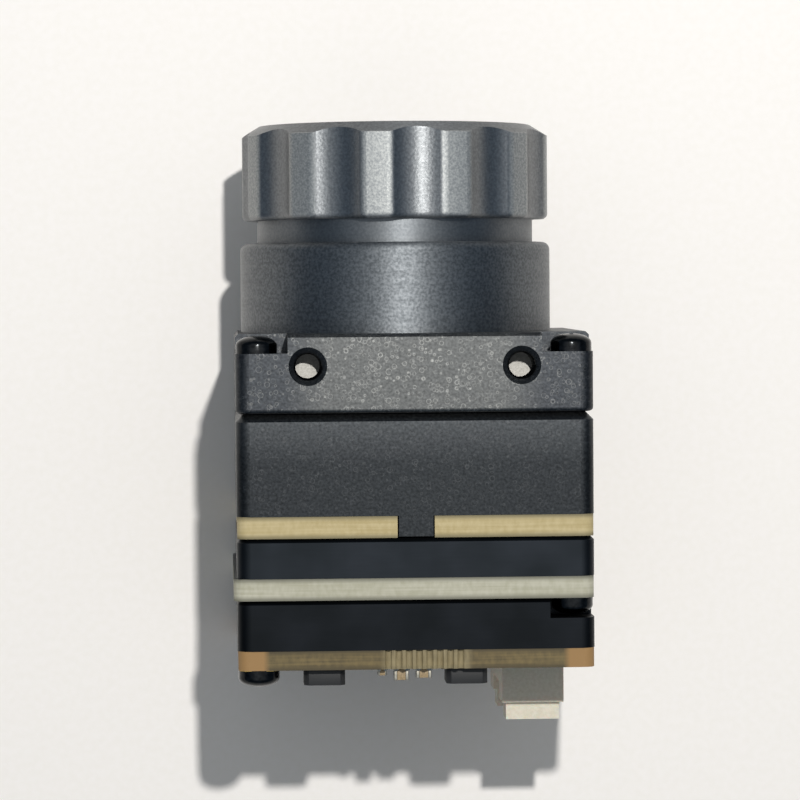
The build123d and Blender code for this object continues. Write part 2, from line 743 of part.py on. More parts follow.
def link_plug(front_y, rear_y, z):
    """Other half of a board link, hanging from the board in front."""
    height = (front_y - rear_y) * LINK_SHARE
    rim = rear_y + height
    gap = 2 * (LINK_WALL + LINK_CLEARANCE)
    solid = block(LINK_LEN - gap, LINK_W - gap, rear_y + LINK_FLOOR, front_y, 0, z)
    return solid + block(LINK_LEN, LINK_W, rim, front_y, 0, z)


def front_links(half):
    """Two links between the sensor board and the processor board."""
    pieces = [half(SENSOR_BOARD_REAR, FRONT_FRAME_REAR, AXIS_Z + s * LINK_OFFSET) for s in (1, -1)]
    return Compound(children=pieces)


def rear_link(half):
    """One link between the processor board and the interface board."""
    return half(PROCESSOR_BOARD_REAR, REAR_FRAME_REAR, AXIS_Z - LINK_OFFSET)


# Rear face


def on_rear(width, height, thickness, x, z):
    """A flat part that stands on the rear of the interface board."""
    face = INTERFACE_BOARD_REAR
    return block(width, height, face - thickness, face, x, z)


def power_coils():
    """Two shielded coils, seen edge on from above."""
    coils = []
    for x in (COIL_LEFT_X, COIL_RIGHT_X):
        solid = on_rear(COIL_SIZE, COIL_SIZE, COIL_T, x, COIL_Z)
        coils.append(chamfer(solid.edges().filter_by(Axis.Y), COIL_EDGE))
    return Compound(children=coils)


def regulator_chips():
    """One flat chip below each coil."""
    z = COIL_Z - REGULATOR_DROP
    chips = [
        on_rear(REGULATOR_SIZE, REGULATOR_SIZE, REGULATOR_T, x, z)
        for x in (COIL_LEFT_X, COIL_RIGHT_X)
    ]
    return Compound(children=chips)


def interface_chip():
    """Flat chip that drives the data lines of the connector."""
    z = AXIS_Z - INTERFACE_CHIP_DROP
    size = INTERFACE_CHIP_SIZE
    return on_rear(size, size, INTERFACE_CHIP_T, INTERFACE_CHIP_X, z)


def capacitor(x, z):
    return on_rear(CAPACITOR_W, CAPACITOR_LEN, CAPACITOR_H, x, z)


def capacitors():
    """A pair of capacitors below each coil and a row of them below the interface chip."""
    pieces = []
    for coil_x in (COIL_LEFT_X, COIL_RIGHT_X):
        for side in (-1, 1):
            x = coil_x + side * CAPACITOR_PITCH / 2
            pieces.append(capacitor(x, COIL_Z - CAPACITOR_DROP))
    row_z = AXIS_Z - INTERFACE_CHIP_DROP - INTERFACE_CHIP_SIZE / 2 - CHIP_ROW_GAP
    for index in range(CHIP_ROW_COUNT):
        x = INTERFACE_CHIP_X + (index - (CHIP_ROW_COUNT - 1) / 2) * CAPACITOR_PITCH
        pieces.append(capacitor(x, row_z))
    return Compound(children=pieces)


def chip_parts():
    """Three small ceramic parts between the coils."""
    pieces = []
    for x, width, height in CHIP_PARTS:
        pieces.append(on_rear(width, CHIP_PART_LEN, height, x, BODY - CHIP_PART_DROP))
    return Compound(children=pieces)


def socket_length():
    return SOCKET_PITCH * (SOCKET_WAYS - 1) + 2 * SOCKET_END


def socket_centre_z():
    return AXIS_Z - SOCKET_DROP


def contact_places():
    """Height of each contact, from the lowest up."""
    first = socket_centre_z() - SOCKET_PITCH * (SOCKET_WAYS - 1) / 2
    return [first + index * SOCKET_PITCH for index in range(SOCKET_WAYS)]


def connector_housing():
    """Moulded header with a stepped outline and a latch window in one wall."""
    face = INTERFACE_BOARD_REAR
    z = socket_centre_z()
    length = socket_length()
    solid = block(SOCKET_BASE_W, length, face - SOCKET_BASE_H, face, SOCKET_X, z)
    top_len = length - 2 * SOCKET_STEP
    solid += block(SOCKET_TOP_W, top_len, face - SOCKET_H, face, SOCKET_X, z)
    inner_w = SOCKET_TOP_W - 2 * SOCKET_WALL
    inner_len = top_len - 2 * SOCKET_WALL
    solid -= block(inner_w, inner_len, face - SOCKET_H - OVER, face - SOCKET_FLOOR, SOCKET_X, z)
    wall_t = (SOCKET_BASE_W - inner_w) / 2
    wall_x = SOCKET_X - SOCKET_BASE_W / 2
    window_low = face - SOCKET_H - OVER
    solid -= block(2 * wall_t, LATCH_LEN, window_low, face - LATCH_FLOOR, wall_x, z)
    hole = CONTACT_W + 2 * CONTACT_FIT
    for contact_z in contact_places():
        solid -= block(hole, hole, face - SOCKET_FLOOR - OVER, face + OVER, SOCKET_X, contact_z)
    return solid


def connector_contacts():
    """Straight square contacts that stand on the board."""
    tip = INTERFACE_BOARD_REAR - SOCKET_H + CONTACT_TIP_GAP
    pins = []
    for z in contact_places():
        pin = block(CONTACT_W, CONTACT_W, tip, INTERFACE_BOARD_REAR, SOCKET_X, z)
        pins.append(chamfer(pin.faces().sort_by(Axis.Y)[0].edges(), CONTACT_BEVEL))
    return Compound(children=pins)


# One file for each kind of piece

STACK = stack_places()

NODES = {
    "front_shell": front_shell,
    "middle_housing": middle_housing,
    "lens_mount": lens_mount,
    "front_screws": front_screws,
    "middle_screws": middle_screws,
    "rear_screws": rear_screws,
    "sensor_board": sensor_board,
    "front_frame": front_frame,
    "processor_board": processor_board,
    "rear_frame": rear_frame,
    "interface_board": interface_board,
    "filter_glass": filter_glass,
    "dust_seal": dust_seal,
    "sensor_package": sensor_package,
    "sensor_die": sensor_die,
    "sensor_cover": sensor_cover,
    "processor_chip": processor_chip,
    "thermal_pad": thermal_pad,
    "memory_chip": memory_chip,
    "crystal": crystal,
    "front_link_sockets": lambda: front_links(link_socket),
    "front_link_plugs": lambda: front_links(link_plug),
    "rear_link_socket": lambda: rear_link(link_socket),
    "rear_link_plug": lambda: rear_link(link_plug),
    "power_coils": power_coils,
    "regulator_chips": regulator_chips,
    "interface_chip": interface_chip,
    "capacitors": capacitors,
    "chip_parts": chip_parts,
    "connector_housing": connector_housing,
    "connector_contacts": connector_contacts,
    "friction_ring": friction_ring,
    "lens_barrel": lens_barrel,
    "focus_ring": focus_ring,
    "rear_element": rear_element,
    "rear_spacer": rear_spacer,
    "middle_element": middle_element,
    "aperture_stop": aperture_stop,
    "front_spacer": front_spacer,
    "front_element": front_element,
    "front_retainer": front_retainer,
}

for name, make in NODES.items():
    export_step(make(), f"parts/{name}.step")
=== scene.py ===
# %% [markdown]
# # Dressing a small camera module
#
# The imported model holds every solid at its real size. This lesson gives those solids their
# finishes, adds the small parts that are made better by hand, and sets up the floor, the light
# and the camera. Everything is in metres, +Y runs towards the front of the lens and +Z is up.

import bpy
import json
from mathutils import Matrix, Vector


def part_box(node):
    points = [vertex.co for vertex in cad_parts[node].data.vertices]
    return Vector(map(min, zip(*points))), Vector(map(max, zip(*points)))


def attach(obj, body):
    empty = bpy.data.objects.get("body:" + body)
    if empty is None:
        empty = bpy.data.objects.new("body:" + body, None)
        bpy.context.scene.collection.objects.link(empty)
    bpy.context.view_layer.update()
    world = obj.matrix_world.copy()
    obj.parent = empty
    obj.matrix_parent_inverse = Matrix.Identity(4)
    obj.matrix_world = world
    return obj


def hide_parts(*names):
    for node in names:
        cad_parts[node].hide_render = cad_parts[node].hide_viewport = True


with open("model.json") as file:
    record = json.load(file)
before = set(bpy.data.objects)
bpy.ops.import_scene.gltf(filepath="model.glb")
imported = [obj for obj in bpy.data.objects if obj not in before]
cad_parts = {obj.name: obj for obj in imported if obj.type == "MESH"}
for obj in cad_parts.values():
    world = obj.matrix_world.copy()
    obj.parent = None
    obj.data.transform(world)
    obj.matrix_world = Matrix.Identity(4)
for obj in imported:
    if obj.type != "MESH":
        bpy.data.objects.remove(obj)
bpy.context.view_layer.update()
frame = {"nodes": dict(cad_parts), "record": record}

# %% [markdown]
# Sizes below are written in millimetres, as on a drawing, and turned into metres by one value.

# %% Units and helpers
import json
import math

import bpy
from mathutils import Vector

MM = 0.001


def box_mm(node):
    """The lowest and highest corners of a CAD node, in millimetres."""
    low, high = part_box(node)
    return low / MM, high / MM


shell_low, shell_high = box_mm("front_shell")
board_low, board_high = box_mm("interface_board")
AXIS_Z = (shell_low.z + shell_high.z) / 2
HALF = (shell_high.x - shell_low.x) / 2
REAR_FACE = board_low.y
print("half width", HALF, "rear face", REAR_FACE)

# %% [markdown]
# ## Materials
#
# Each finish is a small tree of shader nodes, and a few helpers keep the trees short. The first
# turns an sRGB hex colour, as a colour picker shows it, into the linear values that the renderer
# wants. The others add a node with its settings and links, do a sum, map a range, blend, and
# link results to the shader. Patterns are sized from real lengths: a texture with scale S
# repeats about every 1/S metres, so `per_mm` turns a grain size in millimetres into a scale.

# %% Colour and node helpers
def hex_colour(code):
    """An sRGB hex code as a linear colour with alpha."""
    channels = [int(code[i:i + 2], 16) / 255 for i in (1, 3, 5)]
    linear = [c / 12.92 if c <= 0.04045 else ((c + 0.055) / 1.055) ** 2.4 for c in channels]
    return (*linear, 1.0)


def per_mm(size_mm):
    """Texture scale for a pattern whose features are size_mm apart."""
    return 1 / (size_mm * MM)


def add_node(tree, kind, inputs=None, **settings):
    """Add one node, with its settings and with values or links for its inputs."""
    made = tree.nodes.new(kind)
    for name, value in settings.items():
        setattr(made, name, value)
    for key, value in (inputs or {}).items():
        if isinstance(value, bpy.types.NodeSocket):
            tree.links.new(value, made.inputs[key])
        else:
            made.inputs[key].default_value = value
    return made


def calc(tree, operation, *values):
    """The result of one Math node."""
    return add_node(tree, "ShaderNodeMath", dict(enumerate(values)), operation=operation).outputs[0]


def map_range(tree, value, start, end, blend="LINEAR"):
    """Map a value so that start gives 0 and end gives 1."""
    inputs = {"Value": value, "From Min": start, "From Max": end}
    return add_node(tree, "ShaderNodeMapRange", inputs, interpolation_type=blend).outputs["Result"]


def mix_colours(tree, share, first, second):
    """Blend from the first colour to the second."""
    inputs = {"Factor": share, 6: first, 7: second}
    return add_node(tree, "ShaderNodeMix", inputs, data_type="RGBA").outputs[2]


def mix_values(tree, share, first, second):
    """Blend from the first number to the second."""
    return add_node(tree, "ShaderNodeMix", {"Factor": share, 2: first, 3: second}).outputs[0]


def socket_name(key):
    """The name of a shader's socket, from a key such as base_color."""
    return key.replace("_", " ").title().replace("Ior", "IOR")


def feed(tree, shader, **sources):
    """Link each source to the shader's socket of that name."""
    for key, source in sources.items():
        tree.links.new(source, shader.inputs[socket_name(key)])


def new_material(name, **values):
    """A material with one shader; values go on the shader's own sockets."""
    material = bpy.data.materials.new(name)
    material.use_nodes = True
    tree = material.node_tree
    shader = tree.nodes["Principled BSDF"]
    for key, value in values.items():
        shader.inputs[socket_name(key)].default_value = value
    return material, tree, shader


# %% [markdown]
# Most patterns here are a texture that swings between two colours. `speckle` makes a fine
# noise on object coordinates, `two_tone` puts a colour ramp on any value, and `relief` turns a
# value into bump of a real depth.

# %% Pattern helpers
def coordinates(tree, stretch=(1, 1, 1)):
    """Object coordinates, stretched along each axis."""
    place = add_node(tree, "ShaderNodeTexCoord")
    inputs = {"Vector": place.outputs["Object"], "Scale": stretch}
    return add_node(tree, "ShaderNodeMapping", inputs).outputs["Vector"]


def speckle(tree, size_mm, stretch=(1, 1, 1), detail=2.0):
    """Soft noise whose grains are about size_mm across."""
    inputs = {"Vector": coordinates(tree, stretch), "Scale": per_mm(size_mm), "Detail": detail}
    return add_node(tree, "ShaderNodeTexNoise", inputs).outputs["Fac"]


def two_tone(tree, value, dark, light, low=0.35, high=0.65):
    """Blend between two hex colours as the value goes from low to high."""
    ramp = add_node(tree, "ShaderNodeValToRGB", {"Fac": value})
    ramp.color_ramp.elements[0].position = low
    ramp.color_ramp.elements[0].color = hex_colour(dark)
    ramp.color_ramp.elements[1].position = high
    ramp.color_ramp.elements[1].color = hex_colour(light)
    return ramp.outputs["Color"]


def between(tree, value, low, high):
    """Map a value from 0..1 to low..high."""
    inputs = {"Value": value, "To Min": low, "To Max": high}
    return add_node(tree, "ShaderNodeMapRange", inputs).outputs["Result"]


def relief(tree, height, depth_mm, strength=1.0, under=None):
    """Bump of a real depth, on top of another bump if one is given."""
    inputs = {"Height": height, "Distance": depth_mm * MM, "Strength": strength}
    if under is not None:
        inputs["Normal"] = under
    return add_node(tree, "ShaderNodeBump", inputs).outputs["Normal"]


# %% [markdown]
# ### Bead-blasted, black anodised aluminium
#
# The shell and the middle housing are milled, blasted with glass beads and dyed black in the
# anodising bath. Each bead leaves a shallow bowl. Only the rim of a bowl faces the lamp, so each
# rim is painted lighter in the base colour, a thin ring of painted glint. A Voronoi texture gives
# both: its distance is a bowl in each cell, a narrow band of distances is the rim, and the random
# value of each cell says how much painted glint that rim gets. Three sizes of bead are laid over
# each other. A fine speckle scales the base colour up and down, partly grain and partly painted
# sparkle. Each piece is also painted lighter along one axis, as painted highlight where the lamp's
# reflection is strongest, and its painted glints dim where that painted light is dark. The shell
# is painted paler still, also as painted highlight.

# %% Blasted aluminium
# Bead sizes and bowl depth, then the painted glints on the bead rims and how far they dim where the
# painted light is dark, then a fine speckle that scales the base colour, partly grain and partly
# painted sparkle.
BEADS_MM = (0.62, 0.5, 0.4)
BOWL_DEPTH_MM = 0.006
RIM_AT = 0.34
RIM_HALF_W = 0.06
RIM_CHANCE = 0.3
PAINTED_GLINT_DIM = 0.35
SPARKLE_MM = 0.2
PAINTED_SPARKLE_RANGE = (0.2, 1.8)
SPARKLE_DEPTH_MM = 0.006
BLAST_ROUGHNESS = (0.36, 0.5)


def bead_bowls(tree, size_mm):
    """Bowl depth and the share of painted glint on its rim, both 0..1, for beads of one size."""
    inputs = {"Vector": coordinates(tree), "Scale": per_mm(size_mm), "Randomness": 1.0}
    cells = add_node(tree, "ShaderNodeTexVoronoi", inputs).outputs
    off = calc(tree, "ABSOLUTE", calc(tree, "SUBTRACT", cells["Distance"], RIM_AT))
    rim = map_range(tree, off, RIM_HALF_W, 0.0)
    chance = add_node(tree, "ShaderNodeSeparateColor", {0: cells["Color"]}).outputs[0]
    painted_glint_share = calc(tree, "MULTIPLY", rim, map_range(tree, chance, RIM_CHANCE, 1.0))
    return cells["Distance"], painted_glint_share


def painted_light_along_axis(tree, axis, dark_at, light_at):
    """Painted light: 0 to 1 as the distance from the middle goes from dark_at to light_at, in mm."""
    place = add_node(tree, "ShaderNodeTexCoord").outputs["Object"]
    along = add_node(tree, "ShaderNodeSeparateXYZ", {0: place}).outputs[axis]
    return map_range(tree, calc(tree, "ABSOLUTE", along), dark_at * MM, light_at * MM)


def blasted_aluminium(name, dark, light, painted_glint_colour, painted_light_fade):
    """Blasted metal with painted glints on its bead rims; the last argument is an axis and where along
    it, in mm, the painted light is darkest and lightest.
    """
    material, tree, shader = new_material(name, metallic=1.0)
    fine = speckle(tree, SPARKLE_MM, detail=4.0)
    shade = painted_light_along_axis(tree, *painted_light_fade)
    tone = two_tone(tree, shade, dark, light)
    bowls = [bead_bowls(tree, size) for size in BEADS_MM]
    painted_glint_share = bowls[0][1]
    for bowl in bowls[1:]:
        painted_glint_share = calc(tree, "MAXIMUM", painted_glint_share, bowl[1])
    # Painted glints dim where the painted light along the axis is dark.
    painted_glint_share = calc(tree, "MULTIPLY", painted_glint_share, between(tree, shade, PAINTED_GLINT_DIM, 1.0))
    # Base colour: the painted-light tone with painted glints on the rims, scaled by the speckle of
    # painted sparkle.
    inputs = {
        0: mix_colours(tree, painted_glint_share, tone, hex_colour(painted_glint_colour)),
        "Scale": between(tree, fine, *PAINTED_SPARKLE_RANGE),
    }
    dents = relief(tree, bowls[0][0], BOWL_DEPTH_MM, 0.6)
    feed(
        tree, shader,
        base_color=add_node(tree, "ShaderNodeVectorMath", inputs, operation="SCALE").outputs[0],
        roughness=between(tree, fine, *BLAST_ROUGHNESS),
        normal=relief(tree, fine, SPARKLE_DEPTH_MM, 0.6, dents),
    )
    return material


# %% [markdown]
# ### Milled, black anodised aluminium
#
# The two board frames are the same metal without the blasting, so they are darker and more
# even. A cutter leaves faint parallel marks, drawn as noise stretched along X.

# %% Frame aluminium
CUTTER_MARK_MM = 0.18


def frame_aluminium(name, dark, light):
    """Milled metal with faint marks along X."""
    material, tree, shader = new_material(name, metallic=1.0)
    marks = speckle(tree, CUTTER_MARK_MM, (0.08, 1, 1), 3.0)
    feed(
        tree, shader, base_color=two_tone(tree, speckle(tree, 4.0), dark, light),
        roughness=between(tree, marks, 0.36, 0.5), normal=relief(tree, marks, 0.004, 0.5),
    )
    return material


# %% [markdown]
# ### Turned lens parts
#
# A lathe leaves fine lines round the lens, and they spread light along the optical axis far
# more than across it. That is what stretches each highlight on the grip ring into a stripe.
# The shader's anisotropic value does this. Its tangent points along Y, the lens axis, which
# stays right however far the lens is turned. A slight tilt of the tangent keeps it from
# lining up with the flat front faces, where it would have no meaning.

# %% Lens aluminium
LATHE_LINE_MM = 0.14
LATHE_DEPTH_MM = 0.004
LATHE_STRETCH = 0.68
LENS_TANGENT = (0.06, 1.0, 0.04)


def lens_aluminium(name, dark, light, low_rough, high_rough, grain_mm, grain_depth_mm):
    """Turned metal whose highlights stretch along the lens axis."""
    material, tree, shader = new_material(name, metallic=1.0, anisotropic=LATHE_STRETCH)
    lines = speckle(tree, LATHE_LINE_MM, (0.02, 1, 0.02), 2.0)
    grain = speckle(tree, grain_mm, detail=2.0)
    turned = relief(tree, lines, LATHE_DEPTH_MM, 0.5)
    feed(
        tree, shader, base_color=two_tone(tree, grain, dark, light),
        roughness=between(tree, lines, low_rough, high_rough),
        normal=relief(tree, grain, grain_depth_mm, 0.6, turned),
        tangent=add_node(tree, "ShaderNodeCombineXYZ", dict(enumerate(LENS_TANGENT))).outputs[0],
    )
    return material


# %% [markdown]
# The lands of the grip ring are painted a lighter grey than the flutes between them, a painted
# highlight standing in for the bright stripes the lamp makes on them, and they are rougher. A land
# is wherever the distance from the lens axis is the ring's full radius, so that distance is worked
# out from the coordinates and drives the mix.

# %% Grip ring
LAND_DEPTH_MM = 0.16
LAND_PAINTED_HIGHLIGHT_COLOURS = ("#8b8d8e", "#a9aaa8")
LAND_GRAIN_MM = 0.16
LAND_ROUGHNESS = 0.62
LAND_STRETCH = 0.2

ring_low, ring_high = box_mm("focus_ring")
AXIS_X = (ring_high.x + ring_low.x) / 2
ring_points = [vertex.co / MM for vertex in frame["nodes"]["focus_ring"].data.vertices]
RING_R = max(math.hypot(point.x - AXIS_X, point.z - AXIS_Z) for point in ring_points)
print("ring radius", RING_R, "axis at x =", AXIS_X)


def land_share(tree):
    """1 on the lands, at the ring's full radius, and 0 in the flutes."""
    place = add_node(tree, "ShaderNodeTexCoord").outputs["Object"]
    inputs = {0: place, 1: (AXIS_X * MM, 0, AXIS_Z * MM)}
    centred = add_node(tree, "ShaderNodeVectorMath", inputs, operation="SUBTRACT").outputs[0]
    inputs = {0: centred, 1: (1, 0, 1)}
    flat = add_node(tree, "ShaderNodeVectorMath", inputs, operation="MULTIPLY").outputs[0]
    radius = add_node(tree, "ShaderNodeVectorMath", {0: flat}, operation="LENGTH").outputs["Value"]
    return map_range(tree, radius, (RING_R - LAND_DEPTH_MM) * MM, (RING_R - 0.01) * MM, "SMOOTHSTEP")


def grip_ring_aluminium():
    """Turned metal, with the lands between its flutes painted paler as painted highlight, and rougher.
    """
    material = lens_aluminium("anodised_aluminium_fluted", "#6d6f71", "#7f8183", 0.42, 0.54, 0.2, 0.02)
    tree = material.node_tree
    shader = tree.nodes["Principled BSDF"]
    colour = shader.inputs["Base Color"].links[0].from_socket
    rough = shader.inputs["Roughness"].links[0].from_socket
    land = land_share(tree)
    grain = speckle(tree, LAND_GRAIN_MM, detail=3.0)
    # The lands' two colours are painted highlight laid over the flutes' tone.
    painted_land_highlight = two_tone(tree, grain, LAND_PAINTED_HIGHLIGHT_COLOURS[0], LAND_PAINTED_HIGHLIGHT_COLOURS[1])
    feed(
        tree, shader, base_color=mix_colours(tree, land, colour, painted_land_highlight),
        roughness=mix_values(tree, land, rough, LAND_ROUGHNESS),
        anisotropic=between(tree, land, LATHE_STRETCH, LAND_STRETCH),
    )
    return material


# %% [markdown]
# ### Circuit boards
#
# A board is woven glass in resin. Its sawn edge shows thin layers, here bands along Y that
# are 0.18 mm thick, with a fibrous noise. Its two faces are covered with solder mask. The
# object-space normal says which is which: where its Y part is large, the face is masked.
# The rear board's edge is also plated near its corners, so there the colour turns coppery
# past a set distance from the middle. Pale torn fibres mark where it was broken off its panel.

# %% Circuit board
LAYER_MM = 0.18
FIBRE_MM = 0.35
# Within this distance of each face the sawn edge is darkened as painted shade, for the metal beside
# it.
PAINTED_EDGE_SHADE_MM = 0.45
TORN_AT_MM = 0.7
TORN_HALF_MM = 3.1
TORN_BLUR_MM = 0.3
TORN_COLOUR = "#9c9070"
PLATED_FROM_MM = 10.9
PLATED_BLUR_MM = 0.25
COPPER_POUR_MM = 2.2


def board_core(tree, dark, light):
    """The woven layers of a sawn edge: their pattern and their colour."""
    layers = speckle(tree, LAYER_MM, (0.03, 1, 0.03), 1.0)
    fibres = speckle(tree, FIBRE_MM, (1, 0.5, 1), 4.0)
    weave = calc(tree, "MULTIPLY", calc(tree, "ADD", layers, fibres), 0.5)
    return weave, two_tone(tree, weave, dark, light, 0.38, 0.62)


def near_faces(tree, y, node):
    """1 at the two faces of a board, falling to 0 inside its edge: where the edge gets painted shade.
    """
    low, high = box_mm(node)
    half_t = (high.y - low.y) / 2
    depth = calc(tree, "ABSOLUTE", calc(tree, "SUBTRACT", y, (low.y + high.y) / 2 * MM))
    return map_range(tree, depth, (half_t - PAINTED_EDGE_SHADE_MM) * MM, half_t * MM, "SMOOTHSTEP")


def broken_edge(tree, x, edge, plated):
    """Add pale torn fibres near the middle of an edge and plating near its corners."""
    off = calc(tree, "ABSOLUTE", calc(tree, "SUBTRACT", x, TORN_AT_MM * MM))
    torn = map_range(tree, off, (TORN_HALF_MM + TORN_BLUR_MM) * MM, (TORN_HALF_MM - TORN_BLUR_MM) * MM)
    shreds = calc(tree, "MULTIPLY", torn, speckle(tree, 0.3, (1, 0.3, 0.3), 4.0))
    edge = mix_colours(tree, shreds, edge, hex_colour(TORN_COLOUR))
    start = (PLATED_FROM_MM - PLATED_BLUR_MM) * MM
    end = (PLATED_FROM_MM + PLATED_BLUR_MM) * MM
    corner = map_range(tree, calc(tree, "ABSOLUTE", x), start, end)
    return mix_colours(tree, corner, edge, hex_colour(plated))


def circuit_board(name, node, dark, light, skin, mask, plated=None):
    """Layered edge with painted shade next to both faces; masked faces; perhaps a broken, plated edge.
    """
    material, tree, shader = new_material(name)
    place = add_node(tree, "ShaderNodeTexCoord").outputs
    parts = add_node(tree, "ShaderNodeSeparateXYZ", {0: place["Object"]}).outputs
    weave, core = board_core(tree, dark, light)
    # The skin colour is painted shade: the edge turns to it next to both faces.
    edge = mix_colours(tree, near_faces(tree, parts["Y"], node), core, hex_colour(skin))
    if plated:
        edge = broken_edge(tree, parts["X"], edge, plated)
    facing = add_node(tree, "ShaderNodeSeparateXYZ", {0: place["Normal"]}).outputs["Y"]
    on_face = calc(tree, "GREATER_THAN", calc(tree, "ABSOLUTE", facing), 0.7)
    pour = speckle(tree, COPPER_POUR_MM)
    masked = two_tone(tree, pour, mask[0], mask[1], 0.49, 0.51)
    feed(
        tree, shader, base_color=mix_colours(tree, on_face, edge, masked),
        roughness=mix_values(tree, on_face, 0.75, 0.38), normal=relief(tree, weave, 0.02, 0.5),
    )
    return material


# %% [markdown]
# ### Screws, contacts and bare metal
#
# The screws are steel with a black oxide skin: dark, and smooth enough for a small sharp
# highlight on each head. The connector's contacts are tinned brass.

# %% Small metal parts
def grained(name, dark, light, low_rough, high_rough, grain_mm, depth_mm, strength, **values):
    """An even finish whose fine grain drives its tone, its gloss and its relief."""
    material, tree, shader = new_material(name, **values)
    grain = speckle(tree, grain_mm, detail=3.0)
    feed(
        tree, shader, base_color=two_tone(tree, grain, dark, light),
        roughness=between(tree, grain, low_rough, high_rough),
        normal=relief(tree, grain, depth_mm, strength),
    )
    return material


def plain_metal(name, dark, light, low_rough, high_rough, grain_mm=0.3):
    """Bare, plated or blackened metal."""
    return grained(name, dark, light, low_rough, high_rough, grain_mm, 0.004, 0.4, metallic=1.0)


# %% [markdown]
# ### Plastics, rubber and ceramics
#
# Moulded and fired parts have no metal in them. They differ in colour, in how rough they
# are, in how coarse their grain is, and the nylon also lets a little light in under its skin.

# %% Moulded and fired parts
def moulded(name, dark, light, low_rough, high_rough, grain_mm, depth_mm, **values):
    """A moulded, pressed or fired part."""
    return grained(name, dark, light, low_rough, high_rough, grain_mm, depth_mm, 0.5, **values)


# %% [markdown]
# ### Glass
#
# The lens elements are polished and have an anti-reflection coating, which gives a weak
# coloured reflection. Layer Weight is the angle between view and surface, and it drives the
# tint of the coating from green to violet. The filter in front of the sensor is plain.

# %% Glass
def coated_glass(name, centre, rim):
    """Polished glass whose coating changes tint with the angle of view."""
    material, tree, shader = new_material(
        name, base_color=hex_colour("#e8eef2"), ior=1.6, transmission_weight=1.0,
        coat_weight=0.6, coat_roughness=0.03,
    )
    angle = add_node(tree, "ShaderNodeLayerWeight", {"Blend": 0.35}).outputs["Facing"]
    feed(
        tree, shader, coat_tint=two_tone(tree, angle, centre, rim, 0.1, 0.7),
        roughness=between(tree, speckle(tree, 3.0), 0.01, 0.04),
    )
    return material


# %% [markdown]
# With the recipes ready, each finish is made once and given to the CAD nodes that have it.

# %% Give each node its finish
FINISHES = {
    # The middle housing: painted lighter towards the front as painted highlight, with painted glints
    # on its bead rims.
    "blasted_black_aluminium": blasted_aluminium(
        "anodised_aluminium_bead_blasted", "#292b2d", "#3b3d3f", "#454647", ("Y", 11.0, 0.0),
    ),
    "frame_black_aluminium": frame_aluminium("anodised_aluminium_milled", "#1d2023", "#23262a"),
    "lens_black_aluminium": lens_aluminium(
        "anodised_aluminium_turned", "#5f6265", "#6c6f72", 0.4, 0.52, 0.2, 0.004,
    ),
    "blackened_steel": plain_metal("steel_black_oxide", "#1d1e1f", "#2b2c2d", 0.14, 0.22),
    # Each board's third colour is the painted shade on its edge next to both faces.
    "tan_circuit_board": circuit_board(
        "glass_epoxy_board_tan", "sensor_board", "#ac9c71", "#bbac84", "#797054",
        ("#141617", "#1a1d1f"),
    ),
    "grey_circuit_board": circuit_board(
        "glass_epoxy_board_grey", "processor_board", "#a4a28f", "#b5b3a3", "#6f6e62",
        ("#141617", "#1a1d1f"),
    ),
    "brown_circuit_board": circuit_board(
        "glass_epoxy_board_brown", "interface_board", "#574c33", "#716240", "#49402c",
        ("#15181a", "#1c2022"), "#94744a",
    ),
    "filter_glass": coated_glass("filter_glass_polished", "#c8e6f0", "#b0a8e0"),
    "coated_glass": coated_glass("lens_glass_coated", "#7fd0a8", "#8a6ad0"),
    "soft_rubber": moulded("rubber_moulded", "#161616", "#1f1f1f", 0.7, 0.85, 0.2, 0.01),
    "sensor_ceramic": moulded("alumina_fired_dark", "#3a3034", "#463a3f", 0.45, 0.6, 0.1, 0.004),
    "silicon": moulded("silicon_polished", "#2b2836", "#353044", 0.12, 0.2, 0.5, 0.001),
    "chip_epoxy": moulded("epoxy_moulded_black", "#161617", "#202122", 0.45, 0.65, 0.08, 0.006),
    "tinned_metal": plain_metal("tin_plate_bright", "#8f8a7e", "#a8a296", 0.35, 0.5),
    "chip_ceramic": moulded("ceramic_fired_tan", "#8a7658", "#a08b6a", 0.4, 0.55, 0.1, 0.004),
    "link_plastic": moulded(
        "liquid_crystal_polymer_moulded", "#1c1a18", "#262321", 0.5, 0.6, 0.15, 0.005,
    ),
    "natural_nylon": moulded(
        "nylon_moulded_natural", "#d2cbb9", "#ddd7c8", 0.42, 0.55, 0.25, 0.006,
        subsurface_weight=0.25, subsurface_scale=0.0006,
    ),
}


def dress(node_name, material):
    """Put one finish on a CAD node."""
    piece = frame["nodes"][node_name]
    piece.data.materials.clear()
    piece.data.materials.append(material)


for subpart in frame["record"]["subparts"]:
    dress(subpart["node"], FINISHES[subpart["material_slot"]])

# %% [markdown]
# The lens mount and the bare neck of the barrel are turned like the grip ring, but the mount
# was blasted lightly as well, so its highlight breaks up into grains. The shell is painted paler
# than the middle housing behind it, and lightest in its middle across X, as painted highlight.
# The rear frame gets a darker copy of the milled finish, as painted shade where the lamp's
# reflection falls off towards the rear.

# %% Finishes of the lens parts and the shell
dress("lens_mount", lens_aluminium(
    "anodised_aluminium_turned_blasted", "#56595c", "#707376", 0.46, 0.6, 0.2, 0.012,
))
dress("lens_barrel", lens_aluminium(
    "anodised_aluminium_turned_dark", "#65686b", "#717477", 0.48, 0.58, 0.2, 0.004,
))
dress("focus_ring", grip_ring_aluminium())
# The shell's paler colours and its lightness in the middle across X are painted highlight.
dress("front_shell", blasted_aluminium(
    "anodised_aluminium_bead_blasted_painted_highlight", "#37393c", "#4b4c4c", "#757573", ("X", 13.0, 3.0),
))
# The rear frame's darker colours are painted shade, where the lamp's reflection falls off.
dress("rear_frame", frame_aluminium("anodised_aluminium_milled_painted_shade", "#16181a", "#1b1d20"))

